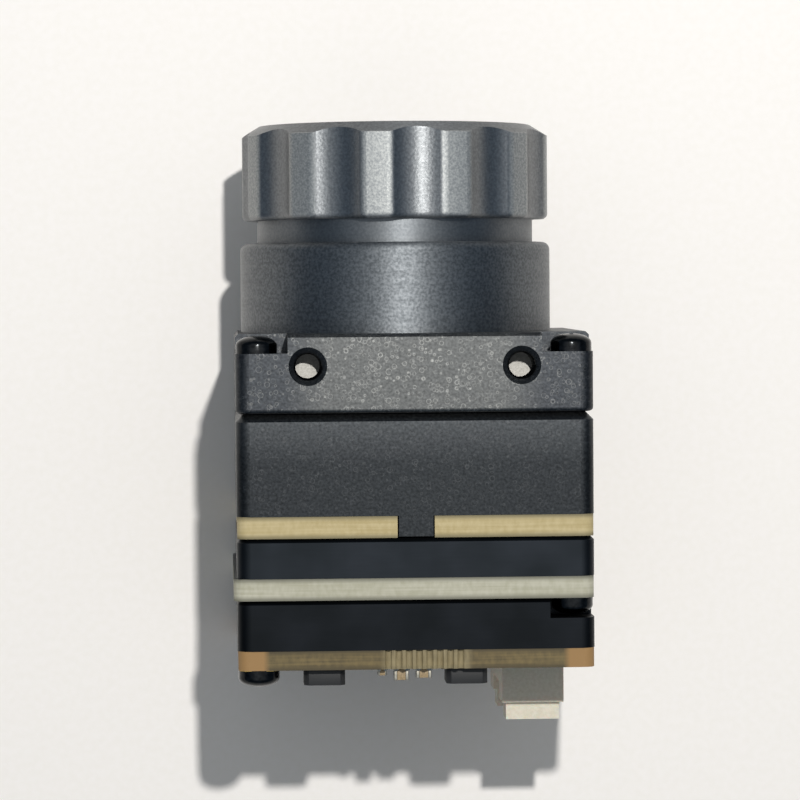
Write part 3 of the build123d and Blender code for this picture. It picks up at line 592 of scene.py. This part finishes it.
# %% [markdown]
# ## Modelling tools
#
# New pieces are modelled with Blender's own operators. An operator acts on all that is
# selected, so everything is deselected first and then faces are picked by a test on their
# place or direction. `settle` moves a finished piece's place and turn into its mesh.

# %% Modelling helpers
def only(piece):
    """Select this piece alone and make it active."""
    bpy.ops.object.select_all(action="DESELECT")
    piece.select_set(True)
    bpy.context.view_layer.objects.active = piece


def named(name):
    """Name the object that an operator has just added."""
    piece = bpy.context.view_layer.objects.active
    piece.name = name
    piece.data.name = name
    return piece


def settle(piece):
    """Move the piece's place, turn and scale into its mesh."""
    only(piece)
    bpy.ops.object.transform_apply(location=True, rotation=True, scale=True)
    return piece


def add_block(name, low, high):
    """A box between two corners, in millimetres."""
    bpy.ops.object.select_all(action="DESELECT")
    low, high = Vector(low), Vector(high)
    bpy.ops.mesh.primitive_cube_add(size=1, location=(low + high) / 2 * MM, scale=(high - low) * MM)
    return settle(named(name))


def add_rod(name, radius, low, high, sides=48):
    """An upright rod about the Z axis of the drawing, in millimetres."""
    bpy.ops.object.select_all(action="DESELECT")
    middle = (0, 0, (low + high) / 2 * MM)
    bpy.ops.mesh.primitive_cylinder_add(
        vertices=sides, radius=radius * MM, depth=(high - low) * MM, location=middle,
    )
    return settle(named(name))


def pick_faces(piece, test):
    """Go to edit mode with the faces selected that pass a test on centre (mm) and normal."""
    only(piece)
    bpy.ops.object.mode_set(mode="EDIT")
    bpy.ops.mesh.select_mode(type="FACE")
    bpy.ops.mesh.select_all(action="DESELECT")
    bpy.ops.object.mode_set(mode="OBJECT")
    for face in piece.data.polygons:
        face.select = test(face.center / MM, face.normal)
    bpy.ops.object.mode_set(mode="EDIT")


def leave_edit():
    """Back to object mode."""
    bpy.ops.object.mode_set(mode="OBJECT")


def round_edges(piece, width_mm, steps=2, angle=40):
    """Round every sharp edge with a Bevel modifier and apply it."""
    only(piece)
    bevel = piece.modifiers.new("round", "BEVEL")
    bevel.width = width_mm * MM
    bevel.segments = steps
    bevel.limit_method = "ANGLE"
    bevel.angle_limit = math.radians(angle)
    bpy.ops.object.modifier_apply(modifier=bevel.name)
    return piece


def cut_with(piece, cutter):
    """Subtract the cutter from the piece and delete it."""
    only(piece)
    cut = piece.modifiers.new("cut", "BOOLEAN")
    cut.operation = "DIFFERENCE"
    cut.solver = "EXACT"
    cut.object = cutter
    bpy.ops.object.modifier_apply(modifier=cut.name)
    bpy.data.objects.remove(cutter)
    return piece


def join(name, pieces):
    """Join several pieces into one."""
    only(pieces[0])
    for piece in pieces:
        piece.select_set(True)
    bpy.ops.object.join()
    return named(name)


def copy_to(piece, place_mm, turn=(0, 0, 0)):
    """A copy with its own mesh, turned (radians) and then moved."""
    twin = piece.copy()
    twin.data = piece.data.copy()
    bpy.context.collection.objects.link(twin)
    twin.rotation_euler = turn
    twin.location = Vector(place_mm) * MM
    return settle(twin)


def finish_piece(piece, material, body, replaced=()):
    """Tidy the mesh, shade it, give it its finish and attach it to its body."""
    only(piece)
    bpy.ops.object.mode_set(mode="EDIT")
    bpy.ops.mesh.select_all(action="SELECT")
    bpy.ops.mesh.remove_doubles(threshold=1e-7)
    bpy.ops.mesh.normals_make_consistent(inside=False)
    bpy.ops.object.mode_set(mode="OBJECT")
    bpy.ops.object.shade_smooth_by_angle(angle=math.radians(35))
    piece.data.materials.clear()
    piece.data.materials.append(material)
    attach(piece, body)
    if replaced:
        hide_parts(*replaced)
    print(piece.name, "faces:", len(piece.data.polygons))
    return piece


# %% [markdown]
# ## Screws
#
# M1.6 pan head screws: a low domed head with a cross recess on a threaded shank. One screw is
# modelled about Z and copied to each corner. These are its sizes.

# %% Screw sizes
HEAD_R = 1.5
HEAD_H = 1.3
HEAD_EDGE_H = 0.62
DOME_STEPS = 6
DOME_ARC = math.radians(78)
RECESS_SPAN = 1.62
RECESS_W = 0.34
RECESS_DEPTH = 0.62
RECESS_TAPER = 0.6
SHANK_R = 0.66
THREAD_ROOT_R = SHANK_R - 0.03
THREAD_R = 0.79
THREAD_PITCH = 0.35

# %% [markdown]
# A thread is a small triangle swept in a helix. The Screw modifier does the sweep: it turns the
# three corners about Z and lifts them by one pitch for each turn. The two open ends are filled.
# Thread inside metal doesn't show, but a loose screw would show it.

# %% Helix for threads
def helix(name, profile, pitch, turns, steps=24):
    """Sweep a triangle, given as (radius, height) corners, in a helix about Z."""
    bpy.ops.object.select_all(action="DESELECT")
    bpy.ops.mesh.primitive_circle_add(vertices=3, radius=MM, fill_type="NOTHING", location=(0, 0, 0))
    ridge = named(name)
    for vertex, (radius, height) in zip(ridge.data.vertices, profile):
        vertex.co = (radius * MM, 0, height * MM)
    sweep = ridge.modifiers.new("sweep", "SCREW")
    sweep.axis = "Z"
    sweep.screw_offset = pitch * MM
    sweep.iterations = turns
    sweep.steps = steps
    sweep.render_steps = steps
    sweep.use_merge_vertices = False
    only(ridge)
    bpy.ops.object.modifier_apply(modifier=sweep.name)
    bpy.ops.object.mode_set(mode="EDIT")
    bpy.ops.mesh.select_all(action="SELECT")
    bpy.ops.mesh.fill_holes(sides=3)
    bpy.ops.object.mode_set(mode="OBJECT")
    return ridge


# %% [markdown]
# The head is a short rod whose top face is extruded and shrunk in steps along the arc of the
# dome, which keeps its rings even. The cross recess is cut with two crossed blocks that taper
# downwards, as the punch that makes it does.

# %% One pan head screw
def pan_head():
    """A domed head with a cross recess, standing on z = 0, in millimetres."""
    head = add_rod("head", HEAD_R, 0, HEAD_EDGE_H)
    pick_faces(head, lambda centre, normal: normal.z > 0.9)
    radius = HEAD_R
    for step in range(1, DOME_STEPS + 1):
        angle = step / DOME_STEPS * DOME_ARC
        next_radius = HEAD_R * math.cos(angle)
        rise = (HEAD_H - HEAD_EDGE_H) * (math.sin(angle) - math.sin(angle - DOME_ARC / DOME_STEPS))
        bpy.ops.mesh.extrude_region_move(TRANSFORM_OT_translate={"value": (0, 0, rise * MM)})
        shrink = next_radius / radius
        bpy.ops.transform.resize(value=(shrink, shrink, 1))
        radius = next_radius
    leave_edit()
    bottom = HEAD_H - RECESS_DEPTH
    for x, y in ((RECESS_SPAN / 2, RECESS_W / 2), (RECESS_W / 2, RECESS_SPAN / 2)):
        wedge = add_block("wedge", (-x, -y, bottom), (x, y, HEAD_H + 0.5))
        pick_faces(wedge, lambda centre, normal: normal.z < -0.9)
        bpy.ops.transform.resize(value=(RECESS_TAPER, RECESS_TAPER, 1))
        leave_edit()
        cut_with(head, wedge)
    return head


def pan_screw(length):
    """A screw about Z with its seat at z = 0 and its head above, in millimetres."""
    head = pan_head()
    shank = add_rod("shank", SHANK_R, -length, 0.05, 24)
    turns = int((length - 0.5) / THREAD_PITCH)
    profile = [(THREAD_ROOT_R, 0), (THREAD_R, THREAD_PITCH / 2), (THREAD_ROOT_R, THREAD_PITCH * 0.9)]
    thread = helix("thread", profile, THREAD_PITCH, turns, 16)
    thread.location = (0, 0, -(length - 0.1) * MM)
    settle(thread)
    return join("screw", [head, shank, thread])


# %% [markdown]
# The screws hold the stack at its corners. Four go in from the front, and two on each diagonal
# from behind. The length of each set and the place of its heads are read from the CAD nodes, so
# the new screws sit in the same seats.

# %% Screws at their corners
SCREW_INSET = 1.55
CORNER = HALF - SCREW_INSET
FRONTWARD = (-math.pi / 2, 0, 0)
REARWARD = (math.pi / 2, 0, 0)


def screw_set(kind, from_front, signs):
    """Copy one screw to each corner, as the CAD node has them."""
    node = kind + "_screws"
    low, high = box_mm(node)
    seat = high.y - HEAD_H if from_front else low.y + HEAD_H
    turn = FRONTWARD if from_front else REARWARD
    master = pan_screw((high.y - low.y) - HEAD_H - 0.02)
    screws = [
        copy_to(master, (sign_x * CORNER, seat, AXIS_Z + sign_z * CORNER), turn)
        for sign_x, sign_z in signs
    ]
    bpy.data.objects.remove(master)
    screws = join(kind + "_screw_set", screws)
    return finish_piece(screws, FINISHES["blackened_steel"], "housing", [node])


screw_set("front", True, [(1, 1), (-1, 1), (-1, -1), (1, -1)])
screw_set("middle", False, [(1, 1), (-1, -1)])
screw_set("rear", False, [(-1, 1), (1, -1)])

# %% [markdown]
# ## Threads in the mounting holes
#
# Each side face has two M2.5 tapped holes. The solid has them as plain bores of the tapping
# size, so the threads are added as a helix that stands just proud of each bore, with the
# shallow cone that the drill leaves at the bottom. The threads are as black as the shell, but
# dye hardly reaches the drilled floor, which is so torn that it scatters light like chalk. The
# lamp falls on part of that floor, and that makes the pale spot seen in each hole.

# %% Threaded liners
HOLE_R = 1.025
HOLE_DEPTH = 3.0
HOLE_PITCH = 0.45
HOLE_SPACING = 15.5
THREAD_DEPTH = 0.13
HOLE_ROOT_R = HOLE_R - 0.005
DRILL_RIM = 0.08
DRILL_CONE = 0.2


def hole_thread():
    """The thread of one hole, about Z, opening at z = 0."""
    turns = int((HOLE_DEPTH - 0.55) / HOLE_PITCH)
    crest = (HOLE_R - THREAD_DEPTH, HOLE_PITCH / 2)
    profile = [(HOLE_ROOT_R, 0), crest, (HOLE_ROOT_R, HOLE_PITCH * 0.98)]
    thread = helix("hole_thread", profile, HOLE_PITCH, turns, 32)
    thread.location = (0, 0, -(HOLE_DEPTH - 0.05) * MM)
    return settle(thread)


def hole_floor():
    """The drilled floor of one hole, a shallow cone."""
    floor = add_rod("hole_floor", HOLE_R - 0.01, -HOLE_DEPTH + 0.01, -HOLE_DEPTH + 0.25, 32)
    pick_faces(floor, lambda centre, normal: normal.z > 0.9)
    bpy.ops.mesh.inset(thickness=DRILL_RIM * MM)
    bpy.ops.mesh.extrude_region_move(TRANSFORM_OT_translate={"value": (0, 0, -DRILL_CONE * MM)})
    bpy.ops.transform.resize(value=(0.1, 0.1, 1))
    leave_edit()
    return floor


def at_each_hole(master, name):
    """Copy a piece to the two holes of all four side faces."""
    copies = []
    for quarter in range(4):
        turn = quarter * math.pi / 2
        across = Vector((math.cos(turn), 0, -math.sin(turn)))
        outward = Vector((math.sin(turn), 0, math.cos(turn)))
        for offset in (-HOLE_SPACING / 2, HOLE_SPACING / 2):
            place = Vector((0, 0, AXIS_Z)) + outward * HALF + across * offset
            copies.append(copy_to(master, place, (0, turn, 0)))
    bpy.data.objects.remove(master)
    return join(name, copies)


finish_piece(
    at_each_hole(hole_thread(), "hole_threads"), FINISHES["frame_black_aluminium"], "housing",
)
finish_piece(
    at_each_hole(hole_floor(), "hole_floors"),
    moulded("aluminium_drilled_rough", "#bfbdb7", "#d6d4cf", 0.9, 1.0, 0.15, 0.01),
    "housing",
)

# %% [markdown]
# ## Power coils
#
# The two low black blocks are shielded coils: a ferrite body with cut corners, a round lid
# that stands a little lower than its rim, and a tinned foot at two ends. The block starts as
# a box, gets its corners cut by a bevel, and its outer face is inset and pushed in.

# %% Power coils
COIL_FACE_RIM = 0.28
COIL_CORNER = 0.35
FOOT_INSET = 0.25
FOOT_HALF_W = 0.28
FOOT_RISE = 0.22
FOOT_END_GAP = 0.6
SOLDER_SINK = 0.01


def coil(low, high):
    """One coil between two corners in millimetres, lying against the rear face."""
    body = add_block("coil", low, high)
    only(body)
    bpy.ops.object.mode_set(mode="EDIT")
    bpy.ops.mesh.select_all(action="DESELECT")
    leave_edit()
    for edge in body.data.edges:
        ends = [body.data.vertices[i].co for i in edge.vertices]
        edge.select = abs(ends[0].y - ends[1].y) > 0.5 * MM
    bpy.ops.object.mode_set(mode="EDIT")
    bpy.ops.mesh.select_mode(type="EDGE")
    bpy.ops.mesh.bevel(offset=COIL_CORNER * MM, segments=1)
    leave_edit()
    pick_faces(body, lambda centre, normal: normal.y < -0.9)
    bpy.ops.mesh.inset(thickness=COIL_FACE_RIM * MM)
    bpy.ops.mesh.inset(thickness=0.05 * MM, depth=-0.06 * MM)
    leave_edit()
    round_edges(body, 0.06, 2, 30)
    return body


coil_low, coil_high = box_mm("power_coils")
COIL_SIZE = coil_high.z - coil_low.z
coils = []
feet = []
for left in (coil_low.x, coil_high.x - COIL_SIZE):
    low = Vector((left, coil_low.y, coil_low.z))
    high = Vector((left + COIL_SIZE, coil_high.y, coil_high.z))
    coils.append(coil(low, high))
    for x in (left + FOOT_INSET, left + COIL_SIZE - FOOT_INSET):
        foot_low = (x - FOOT_HALF_W, REAR_FACE - FOOT_RISE, low.z + FOOT_END_GAP)
        foot_high = (x + FOOT_HALF_W, REAR_FACE + SOLDER_SINK, high.z - FOOT_END_GAP)
        feet.append(round_edges(add_block("foot", foot_low, foot_high), 0.05))
finish_piece(
    join("coil_bodies", coils),
    moulded("ferrite_pressed", "#0f0f10", "#171718", 0.55, 0.7, 0.1, 0.01),
    "housing", ["power_coils"],
)

# %% [markdown]
# ## Ceramic chip parts
#
# A chip capacitor is a fired ceramic block with a tinned cap at each end. Block and caps are
# two pieces, because they have two finishes. The caps stand a hair proud of the block, and
# all their edges are rounded, as barrel-tumbled parts are.

# %% Ceramic parts and their end caps
CAP_SHARE = 0.24
CAP_PROUD = 0.03


def ceramic_part(low, high):
    """Body and two end caps of one part, long along X."""
    width = high.x - low.x
    cap = width * CAP_SHARE
    grow = Vector((0, CAP_PROUD, CAP_PROUD))
    body = round_edges(add_block("body", low + grow, high - Vector((0, 0, CAP_PROUD))), 0.04)
    ends = []
    for cap_low, cap_high in ((low.x, low.x + cap), (high.x - cap, high.x)):
        block = add_block("cap", (cap_low, low.y, low.z), (cap_high, high.y, high.z))
        ends.append(round_edges(block, 0.07, 3))
    return body, ends


def loose_parts(node):
    """The corners in millimetres of each separate solid in a CAD node."""
    source = frame["nodes"][node]
    twin = source.copy()
    twin.data = source.data.copy()
    twin.parent = None
    bpy.context.collection.objects.link(twin)
    only(twin)
    bpy.ops.object.mode_set(mode="EDIT")
    bpy.ops.mesh.select_all(action="SELECT")
    bpy.ops.mesh.remove_doubles(threshold=1e-7)
    bpy.ops.mesh.separate(type="LOOSE")
    bpy.ops.object.mode_set(mode="OBJECT")
    corners = []
    for part in list(bpy.context.selected_objects):
        points = [v.co / MM for v in part.data.vertices]
        low = Vector([min(p[i] for p in points) for i in range(3)])
        high = Vector([max(p[i] for p in points) for i in range(3)])
        corners.append((low, high))
        bpy.data.objects.remove(part)
    return sorted(corners, key=lambda pair: (pair[0].x, pair[0].z))


bodies = []
ends = []
soldered = []
for node in ("chip_parts", "capacitors"):
    for low, high in loose_parts(node):
        body, caps = ceramic_part(low, high)
        bodies.append(body)
        ends.extend(caps)
        cap = (high.x - low.x) * CAP_SHARE
        soldered.append((low, Vector((low.x + cap, high.y, high.z))))
        soldered.append((Vector((high.x - cap, low.y, low.z)), high))
finish_piece(
    join("ceramic_bodies", bodies), FINISHES["chip_ceramic"], "housing",
    ["chip_parts", "capacitors"],
)
finish_piece(
    join("ceramic_end_caps", ends), FINISHES["tinned_metal"], "housing",
    ["chip_parts", "capacitors"],
)

# %% [markdown]
# ## Solder, pads and plated holes
#
# The rear board is open to view from behind. Each part sits on solder, small plated holes
# carry signals through the board, and a plated ring surrounds each screw. All of it is thin
# metal on the face, so each kind is modelled once, flat, and copied.

# %% Plated holes and rings
PAD_T = 0.035
VIA_R = 0.24
VIA_HOLE_R = 0.12
RING_OUT_R = 1.75
RING_IN_R = 1.2
RING_EDGE_GAP = 0.1


def flat_ring(name, outer, inner, sides=24):
    """A thin ring about Z, from z = 0 up to the pad's thickness."""
    ring = add_rod(name, outer, 0, PAD_T, sides)
    pick_faces(ring, lambda centre, normal: abs(normal.z) > 0.9)
    bpy.ops.mesh.inset(thickness=(outer - inner) * MM)
    bpy.ops.mesh.bridge_edge_loops()
    leave_edit()
    return ring


via_master = flat_ring("via", VIA_R, VIA_HOLE_R, 16)
vias = []
VIA_ROWS = [
    ((-10.6, 5.0), (0, 1.15), 7),
    ((1.6, 6.0), (0, 1.1), 5),
    ((-8.4, 14.6), (1.2, 0), 4),
    ((-2.6, 16.4), (1.1, 0), 4),
    ((4.8, 7.2), (0, 1.25), 8),
    ((-7.4, 2.6), (1.3, 0), 6),
]
for start, step, count in VIA_ROWS:
    for index in range(count):
        place = (start[0] + step[0] * index, REAR_FACE, start[1] + step[1] * index)
        vias.append(copy_to(via_master, place, REARWARD))
bpy.data.objects.remove(via_master)


def screw_ring(sign_x, sign_z):
    """Plated ring under a corner screw, cut off short of the board's two edges."""
    ring = copy_to(ring_master, (sign_x * CORNER, REAR_FACE, AXIS_Z + sign_z * CORNER), REARWARD)
    edge = board_high.x - RING_EDGE_GAP
    past = edge + 2
    for low, high in (((edge, -1, -past), (past, 1, past)), ((-past, -1, edge), (past, 1, past))):
        corners = [
            Vector((sign_x * p[0], REAR_FACE + p[1], AXIS_Z + sign_z * p[2])) for p in (low, high)
        ]
        trim_low = [min(c[i] for c in corners) for i in range(3)]
        trim_high = [max(c[i] for c in corners) for i in range(3)]
        cut_with(ring, add_block("trim", trim_low, trim_high))
    return ring


ring_master = flat_ring("screw_ring", RING_OUT_R, RING_IN_R, 48)
rings = [screw_ring(-1, 1), screw_ring(1, -1)]
bpy.data.objects.remove(ring_master)
print("vias:", len(vias), "screw rings:", len(rings))

# %% [markdown]
# Solder climbs the side of each part in a small sloping fillet. A fillet here is a low block
# whose outer face is shrunk, so that its sides slope, with rounded edges.

# %% Solder fillets
FILLET_OUT = 0.16
FILLET_H = 0.22


def solder_bed(low, high, share=1.0):
    """A sloping bed of solder round the foot of a part that stands on the rear face."""
    bed = add_block(
        "solder", (low.x - FILLET_OUT, REAR_FACE - FILLET_H * share, low.z - FILLET_OUT),
        (high.x + FILLET_OUT, REAR_FACE + SOLDER_SINK, high.z + FILLET_OUT),
    )
    pick_faces(bed, lambda centre, normal: normal.y < -0.9)
    width = high.x - low.x + 2 * FILLET_OUT
    height = high.z - low.z + 2 * FILLET_OUT
    bpy.ops.transform.resize(value=(1 - 2 * FILLET_OUT / width, 1, 1 - 2 * FILLET_OUT / height))
    leave_edit()
    return round_edges(bed, 0.03)


solder = [solder_bed(low, high) for low, high in soldered]
finish_piece(
    join("solder_fillets", solder + feet),
    plain_metal("solder_tin_reflowed", "#85837d", "#a09e97", 0.3, 0.45, 0.4),
    "housing",
)
finish_piece(
    join("plated_holes", vias + rings),
    plain_metal("gold_plated_copper", "#c8a25a", "#d8b56c", 0.28, 0.4, 0.4),
    "housing",
)

# %% [markdown]
# ## Chips
#
# The flat chips are moulded epoxy. Each gets a rounded copy of its block with the small round
# dimple that marks its first lead, and a row of tinned leads along each side, level with the
# board. The dimple is cut with a short rod.

# %% Flat chips and their leads
LEAD_W = 0.22
LEAD_OUT = 0.18
LEAD_T = 0.16
DIMPLE_R = 0.22
DIMPLE_INSET = 0.55


def chip_body(low, high):
    """The moulded block of a chip that stands on the rear face."""
    body = round_edges(add_block("chip", low, high), 0.05, 2)
    dimple = add_rod("dimple", DIMPLE_R, -0.06, 0.5, 24)
    place = (high.x - DIMPLE_INSET, low.y, high.z - DIMPLE_INSET)
    cutter = copy_to(dimple, place, REARWARD)
    bpy.data.objects.remove(dimple)
    return cut_with(body, cutter)


def lead(x, z, half_x, half_z):
    """One lead that lies flat on the board."""
    low = (x - half_x, REAR_FACE - LEAD_T, z - half_z)
    high = (x + half_x, REAR_FACE + SOLDER_SINK, z + half_z)
    return round_edges(add_block("lead", low, high), 0.03, 1)


def chip_leads(low, high, count, pitch):
    """Leads along all four sides of a chip."""
    middle = (low + high) / 2
    leads = []
    for index in range(count):
        shift = (index - (count - 1) / 2) * pitch
        leads += [lead(x, middle.z + shift, LEAD_OUT, LEAD_W / 2) for x in (low.x, high.x)]
        leads += [lead(middle.x + shift, z, LEAD_W / 2, LEAD_OUT) for z in (low.z, high.z)]
    return leads


chips = []
leads = []
for node, count, pitch in (("regulator_chips", 4, 0.6), ("interface_chip", 9, 0.6)):
    for low, high in loose_parts(node):
        chips.append(chip_body(low, high))
        leads.extend(chip_leads(low, high, count, pitch))
finish_piece(
    join("chip_bodies", chips), FINISHES["chip_epoxy"], "housing",
    ["regulator_chips", "interface_chip"],
)
finish_piece(join("chip_leads", leads), FINISHES["tinned_metal"], "housing")

# %% [markdown]
# ## Wire header
#
# The header's housing is a CAD node and stays. What a maker would miss are the solder tails
# of its contacts, on the open side of the board, and the tinned anchor tab at each end that
# holds the plastic to the board. Each tail is a flat rounded block on the board, and each tab
# is an upright block that narrows away from the board, on a flat foot.

# %% Header tails and anchor tabs
TAIL_W = 0.4
TAIL_T = 0.18
TAIL_LEN = 0.7
TAB_W = 1.7
TAB_T = 0.25
TAB_RISE = 0.6
TAB_TAPER = 0.7
TAB_FOOT = 0.75
TAB_FOOT_T = 0.2
TAB_SINK = 0.005

header_low, header_high = box_mm("connector_housing")
tails = []
for low, high in loose_parts("connector_contacts"):
    z = (low.z + high.z) / 2
    tail_low = (header_low.x - TAIL_LEN, REAR_FACE - TAIL_T, z - TAIL_W / 2)
    tail_high = (header_low.x + 0.02, REAR_FACE + TAB_SINK, z + TAIL_W / 2)
    tails.append(round_edges(add_block("tail", tail_low, tail_high), 0.05, 2))


def anchor_tab(z, outward):
    """A tab that stands against the end of the header and is soldered to the board."""
    left = (header_low.x + header_high.x) / 2 - TAB_W / 2
    right = (header_low.x + header_high.x) / 2 + TAB_W / 2
    sunk = REAR_FACE + TAB_SINK
    low_z, high_z = sorted((z, z + outward * TAB_T))
    tab = add_block("tab", (left, REAR_FACE - TAB_RISE, low_z), (right, sunk, high_z))
    pick_faces(tab, lambda centre, normal: normal.y < -0.9)
    bpy.ops.transform.resize(value=(TAB_TAPER, 1, 1))
    leave_edit()
    low_z, high_z = sorted((z, z + outward * TAB_FOOT))
    foot = add_block("foot", (left, REAR_FACE - TAB_FOOT_T, low_z), (right, sunk, high_z))
    return [round_edges(tab, 0.06), round_edges(foot, 0.05)]


tabs = anchor_tab(header_low.z, -1) + anchor_tab(header_high.z, 1)
finish_piece(
    join("header_tails_and_tabs", tails + tabs), FINISHES["tinned_metal"], "housing",
)

# %% [markdown]
# ## Floor, light and camera
#
# The module lies on a pale table. Far from the module, where the lamp hardly reaches, the table
# is shown as pale to the camera and in reflections. Light Path tells those rays apart, so the
# pale part adds no light to anything.

# %% Floor
FLOOR_SIZE = 4.0
FLOOR_DROP = 0.00002
NEAR_FLOOR = 0.055
FAR_FLOOR = 0.13
FAR_COLOUR = "#f6f5f2"


def table_paper():
    """Painted board that is shown as pale far away."""
    material, tree, shader = new_material(
        "table_board_painted_white", roughness=0.9, specular_ior_level=0.1,
    )
    fibres = speckle(tree, 0.6, detail=4.0)
    feed(tree, shader, base_color=two_tone(tree, fibres, "#f9f6f3", "#fbf8f6"))
    place = add_node(tree, "ShaderNodeTexCoord").outputs["Object"]
    away = add_node(tree, "ShaderNodeVectorMath", {0: place}, operation="LENGTH").outputs["Value"]
    far = map_range(tree, away, NEAR_FLOOR, FAR_FLOOR, "SMOOTHSTEP")
    rays = add_node(tree, "ShaderNodeLightPath").outputs
    seen = calc(tree, "MAXIMUM", rays["Is Camera Ray"], rays["Is Glossy Ray"])
    seen = calc(tree, "MAXIMUM", seen, rays["Is Transmission Ray"])
    pale = add_node(tree, "ShaderNodeEmission", {"Color": hex_colour(FAR_COLOUR)}).outputs["Emission"]
    inputs = {0: calc(tree, "MULTIPLY", far, seen), 1: shader.outputs["BSDF"], 2: pale}
    both = add_node(tree, "ShaderNodeMixShader", inputs).outputs["Shader"]
    tree.links.new(both, tree.nodes["Material Output"].inputs["Surface"])
    return material


bpy.ops.object.select_all(action="DESELECT")
bpy.ops.mesh.primitive_plane_add(size=FLOOR_SIZE, location=(0, 0, -FLOOR_DROP))
floor = settle(named("table"))
floor.data.materials.append(table_paper())

# %% [markdown]
# The world fills the shadow. It is dim for diffuse light and full white for the camera, and
# what metal reflects rises from a dim bluish horizon to a pale zenith, as in a room that is
# lit from above. Again Light Path tells the rays apart.

# %% World
DIFFUSE_FILL = 0.3
LOW_SKY = 0.33
HIGH_SKY = 1.0
SKY_RISES = (0.5, 0.97)
PLAIN_TINT = "#f5fbff"
LOW_TINT = "#aecbe8"

world = bpy.data.worlds.new("studio")
bpy.context.scene.world = world
world.use_nodes = True
sky = world.node_tree
rays = add_node(sky, "ShaderNodeLightPath").outputs
way = add_node(sky, "ShaderNodeTexCoord").outputs["Generated"]
up = add_node(sky, "ShaderNodeSeparateXYZ", {0: way}).outputs["Z"]
lift = map_range(sky, up, *SKY_RISES, "SMOOTHSTEP")
dome = between(sky, lift, LOW_SKY, HIGH_SKY)
glossy = mix_values(sky, rays["Is Glossy Ray"], DIFFUSE_FILL, dome)
clear = calc(sky, "MAXIMUM", rays["Is Camera Ray"], rays["Is Transmission Ray"])
strength = mix_values(sky, clear, glossy, 1.0)
low_glossy = calc(sky, "MULTIPLY", rays["Is Glossy Ray"], calc(sky, "SUBTRACT", 1.0, lift))
tint = mix_colours(sky, low_glossy, hex_colour(PLAIN_TINT), hex_colour(LOW_TINT))
feed(sky, sky.nodes["Background"], strength=strength, color=tint)

# %% [markdown]
# One small lamp hangs about 26 cm up, a little in front of the lens and to the right. It is so
# near that shadows spread: the left edge of the housing throws its shadow well out to the left,
# the right edge hardly at all, and the blasted faces are brightest in front.

# %% Lamp
LAMP_MM = (17.0, 78.0, 258.0)
LAMP_RADIUS_MM = 4.0
LAMP_POWER = 2.22
LAMP_COLOUR = (1.0, 0.98, 0.94)

bpy.ops.object.select_all(action="DESELECT")
bpy.ops.object.light_add(type="POINT", location=Vector(LAMP_MM) * MM)
lamp = bpy.context.view_layer.objects.active
lamp.data.energy = LAMP_POWER
lamp.data.shadow_soft_size = LAMP_RADIUS_MM * MM
lamp.data.color = LAMP_COLOUR
print("lamp at", LAMP_MM)

# %% [markdown]
# The camera looks straight down from about 26 cm above the module, a little to the left of
# it, and slightly turned. These values come from matching the corners of the housing and the
# edges of the shadow in the picture.

# %% Camera
CAMERA_MM = (-13.6, 6.43, 290.0)
CAMERA_TURN_DEG = (-1.907, -2.723, -0.432)
CAMERA_LENS = 164.6

bpy.ops.object.camera_add(
    location=Vector(CAMERA_MM) * MM, rotation=[math.radians(a) for a in CAMERA_TURN_DEG],
)
camera = bpy.context.view_layer.objects.active
camera.data.lens = CAMERA_LENS
camera.data.clip_start = 0.01
bpy.context.scene.camera = camera
bpy.context.scene.view_settings.view_transform = "Standard"
